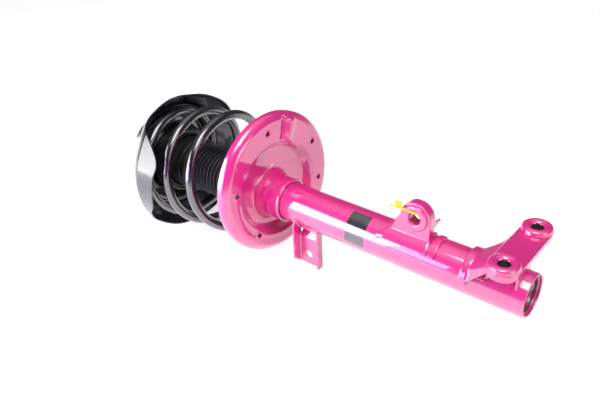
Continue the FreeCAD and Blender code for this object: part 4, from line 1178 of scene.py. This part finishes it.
@dataclass
class UpperSeat:
    """The black upper seat: a dome with a wavy skirt, and the rubber pad inside it."""

    sheet: float = 2.0
    land: float = 558.8
    hub_low: float = 573.8
    hub_r: float = 56.0
    hole_r: float = 18.0
    land_r: float = 72.5
    shoulder: float = 550.0
    shoulder_r: float = 80.0
    corner: float = 18.0
    corner_bulge: float = 7.5
    pad_face: float = 555.8
    rim: tuple[tuple[float, float], ...] = (
        (31, 540), (0, 530), (-42, 512), (-71, 520), (-125, 514), (-175, 522), (-198, 523), (-231, 521),
        (-244, 513), (-256, 498), (-269, 491), (-286, 487), (-296, 484), (-306, 499), (-312, 513),
        (-320, 532))
    envelope: tuple[tuple[float, float], ...] = (
        (480, 100.5), (521, 100.5), (530, 95.9), (540, 88.8), (545, 84.6), (550, 80.0))

    def rim_at(self, angles: np.ndarray) -> np.ndarray:
        """Place of the skirt's edge round the seat, as a smooth periodic curve.

        Args:
            angles: degrees round the seat.

        Returns:
            The place of the edge along the strut at each angle.
        """
        knots, values = np.array(sorted((angle % 360, x) for angle, x in self.rim)).T
        knots = np.concatenate([knots - 360, knots, knots + 360])
        values = np.tile(values, 3)
        slopes = np.gradient(values, knots)
        found = np.clip(np.searchsorted(knots, angles, side="right") - 1, 0, len(knots) - 2)
        width = knots[found + 1] - knots[found]
        share = (angles - knots[found]) / width
        near = (1 + 2 * share) * (1 - share) ** 2 * values[found]
        far = share**2 * (3 - 2 * share) * values[found + 1]
        bend = share * (1 - share) ** 2 * slopes[found] - share**2 * (1 - share) * slopes[found + 1]
        return near + far + bend * width

    def skirt(self, angles: np.ndarray) -> list[np.ndarray]:
        """Rings of the skirt, from the shoulder down to its wavy edge, with its fuller corner.

        Args:
            angles: degrees round the seat.

        Returns:
            The rings.
        """
        heights, radii = np.array(self.envelope).T
        edge = self.rim_at(angles)
        corner = smooth(np.abs(np.mod(angles - self.corner + 180, 360) - 180), 42, 8)
        rings = []
        for share in np.linspace(0, 1, 26)[1:]:
            x = self.shoulder + share * (edge - self.shoulder)
            bulge = self.corner_bulge * corner * smooth(x, 512, 536) * smooth(x, 551, 546)
            rings.append(ring_at(x, np.interp(x, heights, radii) + bulge, angles))
        return rings

    def build(self) -> None:
        """Make the dome and the pad."""
        angles = ring_angles(288)
        hub, land = self.hub_low + self.sheet, self.land + self.sheet
        crown = refined(rounded((
            (hub, self.hole_r), (hub, self.hub_r, 4), (land, self.hub_r + self.sheet + 1, 4),
            (land, self.land_r, 3.5), (self.shoulder, self.shoulder_r)), 6, closed=False), 4)
        rings = [ring_at(x, radius, angles) for x, radius in crown] + self.skirt(angles)
        dome = tidy(loft("upper_seat_dome", np.stack(rings), closed=False), 60)
        middle = dome.data.polygons[0].normal.x
        walled(dome, self.sheet, -1.0 if middle > 0 else 1.0)
        rim = dome.modifiers.new("edge", "BEVEL")
        rim.width = 0.5 * MM
        rim.segments = 2
        rim.limit_method = "ANGLE"
        rim.angle_limit = math.radians(60)
        applied(dome)
        place(dome, "upper_seat", "black_paint", SATIN_BLACK, "upper_spring_seat")
        self.pad()

    def pad(self) -> None:
        """The rubber pad: a flat land for the spring and a raised ring with grooves round the boot."""
        face, groove = self.pad_face, self.pad_face + 1.2
        pad = turned("upper_seat_pad", rounded((
            (face, 69.5, 0.8), (self.land, 69.4), (self.land, 36.5), (531, 36.5, 2), (527, 38.5, 2),
            (526.2, 40, 1), (530, 41.2, 1), (530, 42.4, 1), (526, 43.2, 1), (526, 45.5, 2),
            (530, 48.5, 3), (538, 49.0, 2), (540, 50.2, 1), (544, 50.2, 1), (546, 49.0, 2),
            (face - 3, 49, 3), (face, 53, 2), (face, 60, 0.8), (groove, 61, 0.8), (groove, 62, 0.8),
            (face, 63, 0.8)), 5), 128)
        place(pad, "upper_seat", "rubber", POLISHED_RUBBER, "upper_spring_pad")


@dataclass
class TopMount:
    """The rod with its threaded stud, the nut, the mount's rubber and the bump stop."""

    rod_low: float = 343.6
    spigot_r: float = 6.0
    rod_step: float = 372.0
    rod_r: float = 11.0
    shoulder: float = 569.5
    stud_r: float = 7.0
    thread_low: float = 580.0
    thread_pitch: float = 1.5
    thread_depth: float = 0.8
    thread_lead: float = 3.0
    thread_steps: int = 6
    stud_chamfer: float = 1.5
    bump_low: float = 524.5
    bump_bore: float = 11.4
    bump_rings: int = 3
    bump_ends: float = 6.0
    face: float = 601.9
    stud_top: float = 629.9
    plate_top: float = 586.9
    nut_low: float = 591.5
    nut_high: float = 601.5
    nut_flats: float = 21.0
    nut_bore: float = 7.06
    sleeve_r: float = 13.1

    def build(self) -> None:
        """Make the rod, the nut, the rubber and the stop."""
        self.rod()
        self.nut()
        self.rubber()
        self.bump_stop()

    def rubber(self) -> None:
        """The rubber block, with a groove round it, another in its face and the pocket of the nut."""
        low, face = self.plate_top, self.face
        rubber = turned("mount_rubber_block", rounded((
            (low, self.sleeve_r), (low, 47, 1.5), (low + 3, 47, 1.5), (low + 4.5, 44, 1),
            (low + 7, 43, 1.5), (low + 8.5, 45, 1), (low + 11, 43.5, 1.5), (face, 38, 2), (face, 34, 0.8),
            (face - 1, 33, 0.8), (face - 1, 30, 0.8), (face, 29, 0.8), (face, 14.4, 1.2),
            (self.nut_low, 14, 1), (self.nut_low, self.sleeve_r)), 5), 96)
        place(rubber, "top_mount", "rubber", RUBBER, "mount_rubber")

    def bump_stop(self) -> None:
        """The foam stop with its soft rings."""
        low, high = self.bump_low, self.shoulder
        wave = [(low, self.bump_bore), (low, 13.5, 1.5)]
        for ring in range(self.bump_rings):
            start = low + self.bump_ends / 2 + ring * (high - low - self.bump_ends) / self.bump_rings
            wave += [(start + 2, 15.5, 2), (start + 6, 20, 3), (start + 9, 20, 3), (start + 12, 15.5, 2)]
        wave += [(high, 18, 1), (high, self.bump_bore)]
        stop = turned("bump_stop_foam", rounded(wave, 5), 72)
        place(stop, "top_mount", "foam", FOAM, "bump_stop")

    def rod(self) -> None:
        """The piston rod, whose upper end carries a single start thread."""
        plain = rounded((
            (self.rod_low, 0.3), (self.rod_low, self.spigot_r, 0.8), (self.rod_step, self.spigot_r, 0.3),
            (self.rod_step, self.rod_r, 0.8), (self.shoulder, self.rod_r, 0.8),
            (self.shoulder, self.stud_r), (self.thread_low, self.stud_r)), 4, closed=False)
        angles = ring_angles(48)
        rings = [ring_at(x, radius, angles) for x, radius in plain]
        count = int((self.stud_top - self.thread_low) / self.thread_pitch * self.thread_steps)
        chamfer = self.stud_top - self.stud_chamfer
        for x in np.linspace(self.thread_low, self.stud_top, count):
            phase = np.mod(x / self.thread_pitch + angles / 360, 1)
            tooth = 1 - np.abs(2 * phase - 1)
            fade = min(smooth(x, self.thread_low, self.thread_low + self.thread_lead),
                       smooth(x, self.stud_top, chamfer))
            groove = self.thread_depth * (1 - tooth) * fade
            rings.append(ring_at(x, self.stud_r - groove - smooth(x, chamfer, self.stud_top), angles))
        rings.append(ring_at(self.stud_top, 0.3, angles))
        rod = tidy(loft("piston_rod_chromed", np.stack(rings)), 50)
        place(rod, "top_mount", "chrome_rod", CHROME, "piston_rod")

    def nut(self) -> None:
        """The hexagon nut with its chamfers."""
        angles = ring_angles(96)
        apart = np.abs(np.mod(angles, 60) - 30)
        flat = self.nut_flats / 2 / np.cos(np.radians(30 - apart))
        tip = self.nut_flats / math.sqrt(3)
        low, high, bore = self.nut_low, self.nut_high, self.nut_bore
        outline = ((low, bore), (low, tip - 1.4), (low + 1.4, tip), (high - 1.4, tip), (high, tip - 1.6),
                   (high, 8.2), (high - 1.1, bore))
        rings = [ring_at(x, np.minimum(flat, limit), angles) for x, limit in outline]
        nut = tidy(loft("mount_nut", np.stack(rings)), 25)
        place(nut, "top_mount", "zinc", ZINC, "rod_nut")


@dataclass
class Brackets:
    """The stamped brackets on the damper tube with their bosses, feet and weld beads.

    Each stamped piece is written as its name, its solid, the size of its mesh and how often that is eased.
    Each foot is written as its name, the places of its top and its tip along the tube, and half its width.
    """

    stamped: tuple[tuple[str, str, float, int], ...] = (
        ("knuckle_arm", "lower_knuckle_bracket", 0.8, 5), ("eye_cup", "upper_knuckle_bracket", 0.7, 4),
        ("cup_strap", "upper_bracket_strap", 0.5, 4), ("cable_plate", "cable_bracket", 0.6, 4))
    feet: tuple[tuple[str, float, float, float], ...] = (
        ("eye_foot_high", 165.0, 180.0, 8.5), ("eye_foot_low", 124.0, 119.0, 7.0))

    bolt_x: float = 27.75
    near_y: float = 21.0
    far_y: float = -63.0
    bolt_r: float = 6.75
    boss_r: float = 17.2
    boss_face: float = 45.0
    arm_top: float = 38.5
    eye_x: float = 137.3
    eye_z: float = 50.3
    eye_bolt_r: float = 7.25
    eye_ring_r: float = 16.0
    eye_face: float = 15.0
    cup_face: float = 12.0
    seam_r: float = 25.7
    foot_start: float = 22.0
    foot_end: float = 60.0
    foot_sheet: float = 4.4
    cable_low: float = 273.0
    cable_high: float = 301.0
    cable_angle: float = 146.0
    weld_r: float = 2.0
    weld_step: float = 0.8

    def build(self) -> None:
        """Make the stamped pieces, bosses, feet, welds, painted shade in the bolt holes and the eye ring.
        """
        for name, node, voxel, rounds in self.stamped:
            painted(softened(name, node, voxel, rounds), node)
        near, far = self.boss("near_boss", self.near_y), self.boss("far_boss", self.far_y)
        painted(near, "knuckle_boss_collars")
        painted(far)
        for name, top, tip, half in self.feet:
            painted(self.foot(name, top, tip, half))
        bead = bead_recipe(MAGENTA)
        for index, path in enumerate(self.weld_paths()):
            sizes = {"Drop": self.weld_r * MM, "Step": self.weld_step * self.weld_r * MM}
            painted(tidy(bead.run(f"weld_bead_{index}", polyline(path), sizes), 60))
        # Each bolt hole gets a thin dark sleeve: painted shade
        for name, y in (("near_bore", self.near_y), ("far_bore", self.far_y)):
            place(self.bore(name, y), "damper", "pink_paint", BORE_SHADE)
        painted(self.eye_ring(), "eye_collar")

    def collar(self, name: str, outline: np.ndarray, spot: Callable) -> bpy.types.Object:
        """Turn an outline of (along, radius) round a bolt.

        Args:
            name: the object's name.
            outline: the section.
            spot: gives a point for a distance along the bolt and two offsets across it.

        Returns:
            The ring.
        """
        radians = np.radians(ring_angles(72))
        rings = []
        for along, radius in outline:
            points = [spot(along, radius * math.sin(turn), radius * math.cos(turn)) for turn in radians]
            rings.append(np.array(points))
        return tidy(loft(name, np.stack(rings)), 40)

    def foot(self, name: str, top: float, tip: float, half: float) -> bpy.types.Object:
        """A foot of the eye bracket that follows the tube down its near side.

        Args:
            name: the object's name.
            top: place along the tube where the foot leaves the bracket.
            tip: place along the tube of its end.
            half: half its width at the top.

        Returns:
            The foot.
        """
        turn = np.radians(ring_angles(32))
        across = np.sign(np.sin(turn)) * np.sqrt(np.abs(np.sin(turn)))
        out = np.sign(np.cos(turn)) * np.sqrt(np.abs(np.cos(turn)))
        rings = []
        for share in np.linspace(0, 1, 24):
            angle = self.foot_start + (self.foot_end - self.foot_start) * share
            end = math.sqrt(max(1 - share**6, 0.0004))
            radius = self.seam_r + self.foot_sheet * end * (0.1 + 0.6 * out)
            along = top + (tip - top) * share + half * (1 - 0.3 * share) * end * across
            rings.append(ring_at(along, radius, angle))
        return tidy(loft(name, np.stack(rings), closed=False), 50)

    def weld_paths(self) -> list[np.ndarray]:
        """Lines where the cable bracket is welded to the tube, along its web and its two flanges."""
        along = np.linspace(self.cable_low, self.cable_high, 30)
        seam = ring_at(along, self.seam_r, np.full(len(along), self.cable_angle))
        return [seam, arc_path(self.cable_low, self.seam_r, self.cable_angle, self.cable_angle + 25, 30),
                arc_path(self.cable_high, self.seam_r, self.cable_angle, 108, 50)]

    def across_arm(self, y: float) -> Callable:
        """Points round a bolt that stands upright in the arm."""
        return lambda along, sine, cosine: (self.bolt_x + cosine, y + sine, along)

    def eye_ring(self) -> bpy.types.Object:
        """The raised ring round the eye's bolt hole, with the bush behind it."""
        bolt, ring, face, cup = self.eye_bolt_r, self.eye_ring_r, self.eye_face, self.cup_face
        outline = rounded((
            (GAP, bolt, 0.6), (GAP, 10.5, 1), (cup, 10.5), (cup, ring, 0.8), (face - 0.8, ring - 0.6, 1.5),
            (face, ring - 3.5, 1.5), (face - 0.4, bolt + 1.5, 0.8), (face - 1.6, bolt, 0.8)), 5)
        return self.collar("eye_ring", outline, lambda along, sine, cosine: (
            self.eye_x + sine, along, self.eye_z + cosine))

    def bore(self, name: str, y: float) -> bpy.types.Object:
        """A thin dark sleeve in a boss's bolt hole: painted shade.

        Args:
            name: the object's name.
            y: place of the bolt across the strut.

        Returns:
            The sleeve.
        """
        low, high = self.arm_top - 13.5, self.boss_face - 3.4
        inside, outside = self.bolt_r - 0.15, self.bolt_r + 0.2
        outline = np.array(((low, inside), (low, outside), (high, outside), (high, inside)))
        return self.collar(name, outline, self.across_arm(y))

    def boss(self, name: str, y: float) -> bpy.types.Object:
        """A raised boss with a dished face round its bolt hole.

        Args:
            name: the object's name.
            y: place of the bolt across the strut.

        Returns:
            The boss.
        """
        top, face, boss, bolt = self.arm_top, self.boss_face, self.boss_r, self.bolt_r
        outline = rounded((
            (top - 14, bolt, 0.5), (top - 14, 10, 1), (top, 10), (top + GAP, boss + 0.6, 0.8),
            (top + 2.2, boss, 1.2), (face - 1.4, boss - 0.7, 2.2), (face, boss - 4, 2.2),
            (face - 0.3, bolt + 4, 1.5), (face - 1.5, bolt + 1.5, 1), (face - 3.2, bolt, 1)), 5)
        return self.collar(name, outline, self.across_arm(y))


@dataclass
class Trim:
    """The blank label round the tube and the yellow marker strip on the eye."""

    tube_r: float = 25.5
    low: float = 197.0
    high: float = 224.0
    near: float = 107.0
    far: float = 12.0
    film: float = 0.22

    def build(self) -> None:
        """Make the label and the strip."""
        columns, rows = 48, 14
        points, faces = [], []
        for row in range(rows + 1):
            x = self.low + (self.high - self.low) * row / rows
            points.append(arc_path(x, self.tube_r + GAP, self.near, self.far, columns))
        for row in range(rows):
            for column in range(columns - 1):
                start = row * columns + column
                faces.append((start, start + 1, start + columns + 1, start + columns))
        label = walled(tidy(make("blank_label_film", np.concatenate(points), faces)), self.film, 1)
        place(label, "damper", "label_grey", LABEL, "blank_label")
        place(softened("marker_strip", "yellow_tag", 0.35, 3), "damper", "tag_yellow", YELLOW, "yellow_tag")


@dataclass(frozen=True)
class SoftBox:
    """A square soft lamp. Its place and the point that it faces are metres from the middle of the strut."""

    name: str
    place: tuple[float, float, float]
    size: float
    power: float
    colour: tuple[float, float, float] = (1, 1, 1)
    aim: tuple[float, float, float] = (0, 0, 0)

    def build(self, middle: Vector) -> None:
        """Hang the lamp, unseen by the camera.

        Args:
            middle: the middle of the strut, metres.
        """
        data = bpy.data.lights.new(self.name, "AREA")
        data.shape = "SQUARE"
        data.size = self.size
        data.energy = self.power
        data.color = self.colour
        where, aim = middle + Vector(self.place), middle + Vector(self.aim)
        thing = new_object(self.name, data)
        thing.visible_camera = False
        turn = (where - aim).to_track_quat("Z", "Y").to_matrix().to_4x4()
        thing.matrix_world = Matrix.Translation(where) @ turn


@dataclass
class Studio:
    """The camera of the photograph, a pale floor and soft lamps."""

    eye: tuple[float, float, float] = (-770.1, 563.0, 450.7)
    ahead: tuple[float, float, float] = (0.5573, -0.6516, -0.5146)
    up: tuple[float, float, float] = (0.3026, -0.4178, 0.8567)
    lens: float = 39.97
    sensor: float = 36.0
    floor_size: float = 6.0
    floor_gap: float = 0.0005
    floor_glow: float = 0.62
    room_light: float = 0.9
    room: tuple[tuple[float, tuple[float, float, float]], ...] = (
        (0.0, (0.50, 0.50, 0.51)), (0.50, (0.32, 0.32, 0.34)), (0.62, (0.08, 0.08, 0.09)),
        (0.84, (0.12, 0.12, 0.13)), (0.96, (0.80, 0.80, 0.81)))
    middle: tuple[float, float, float] = (-0.30, 0.0, 0.0)
    lamps: tuple[SoftBox, ...] = (
        SoftBox("top box", (-0.30, 0.35, 1.1), 0.7, 9.0),
        SoftBox("left box", (0.75, 0.95, 0.22), 0.9, 16.0),
        SoftBox("end box", (-1.2, 0.1, 0.5), 0.6, 4.0, (1, 0.97, 1)),
        SoftBox("violet fill", (0.15, 0.75, 0.16), 0.3, 2.5, (0.6, 0.35, 1), (0, 0.25, -0.1)))

    def build(self) -> None:
        """Set the camera, the floor, the world and the lamps."""
        bpy.context.scene.view_settings.view_transform = "Standard"
        self.camera()
        self.floor()
        self.world()
        for lamp in self.lamps:
            lamp.build(Vector(self.middle))

    def camera(self) -> None:
        """Place the camera where the photograph was taken."""
        data = bpy.data.cameras.new("camera")
        data.lens = self.lens
        data.sensor_width = self.sensor
        data.clip_end = 50
        ahead, up = Vector(self.ahead).normalized(), Vector(self.up)
        right = ahead.cross(up).normalized()
        up = right.cross(ahead)
        thing = new_object("camera", data)
        turn = Matrix((right, up, -ahead)).transposed().to_4x4()
        thing.matrix_world = Matrix.Translation(Vector(self.eye) * MM) @ turn
        bpy.context.scene.camera = thing

    def floor(self) -> None:
        """A plain pale floor that reads as white and keeps a faint shadow."""
        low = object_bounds()[0][2] - self.floor_gap
        half = self.floor_size / 2
        mesh = bpy.data.meshes.new("floor")
        corners = [(half * x, half * y, low) for x, y in ((-1, -1), (1, -1), (1, 1), (-1, 1))]
        mesh.from_pydata(corners, [], [(0, 1, 2, 3)])
        thing = new_object("floor", mesh)
        made = bpy.data.materials.new("pale floor")
        made.use_nodes = True
        made.node_tree.nodes.clear()
        tree = Tree(made.node_tree)
        rays = tree.node("ShaderNodeLightPath")
        seen = tree.math("MAXIMUM", tree.out(rays, "Is Camera Ray"), tree.out(rays, "Is Glossy Ray"))
        white = tree.out(tree.node("ShaderNodeEmission", Color=(1, 1, 1, 1), Strength=self.floor_glow))
        plain = tree.out(tree.node("ShaderNodeBsdfDiffuse", Color=(0.85, 0.85, 0.85, 1)))
        both = tree.out(tree.node("ShaderNodeAddShader", at0=white, at1=plain))
        mixed = tree.node("ShaderNodeMixShader", Fac=seen, at1=plain, at2=both)
        tree.node("ShaderNodeOutputMaterial", Surface=tree.out(mixed))
        mesh.materials.append(made)
        thing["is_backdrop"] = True

    def world(self) -> None:
        """White for the camera, and for the object a grey room with dark walls and a bright ceiling."""
        world = bpy.data.worlds.new("studio")
        bpy.context.scene.world = world
        world.use_nodes = True
        world.node_tree.nodes.clear()
        tree = Tree(world.node_tree)
        rays = tree.node("ShaderNodeLightPath")
        height = tree.out(tree.node("ShaderNodeSeparateXYZ", Vector=tree.out(
            tree.node("ShaderNodeTexCoord"), "Generated")), "Z")
        room = tree.ramp(height * 0.5 + 0.5, self.room)
        lit = tree.out(tree.node("ShaderNodeBackground", Color=room, Strength=self.room_light))
        white = tree.out(tree.node("ShaderNodeBackground", Color=(1, 1, 1, 1), Strength=1.0))
        mixed = tree.node("ShaderNodeMixShader", Fac=tree.out(rays, "Is Camera Ray"), at1=lit, at2=white)
        tree.node("ShaderNodeOutputWorld", Surface=tree.out(mixed))


def main() -> None:
    """Build the strut and its studio."""
    logging.basicConfig(level=logging.INFO, format="%(message)s")
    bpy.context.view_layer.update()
    for node, finish in NODE_FINISH.items():
        dress(frame["nodes"][node], finish)
    seat = LowerSeat()
    Studio().build()
    Damper().build()
    seat.build()
    Spring().build(seat)
    Boot().build()
    UpperSeat().build()
    TopMount().build()
    Brackets().build()
    Trim().build()


if __name__ == "__main__":
    main()
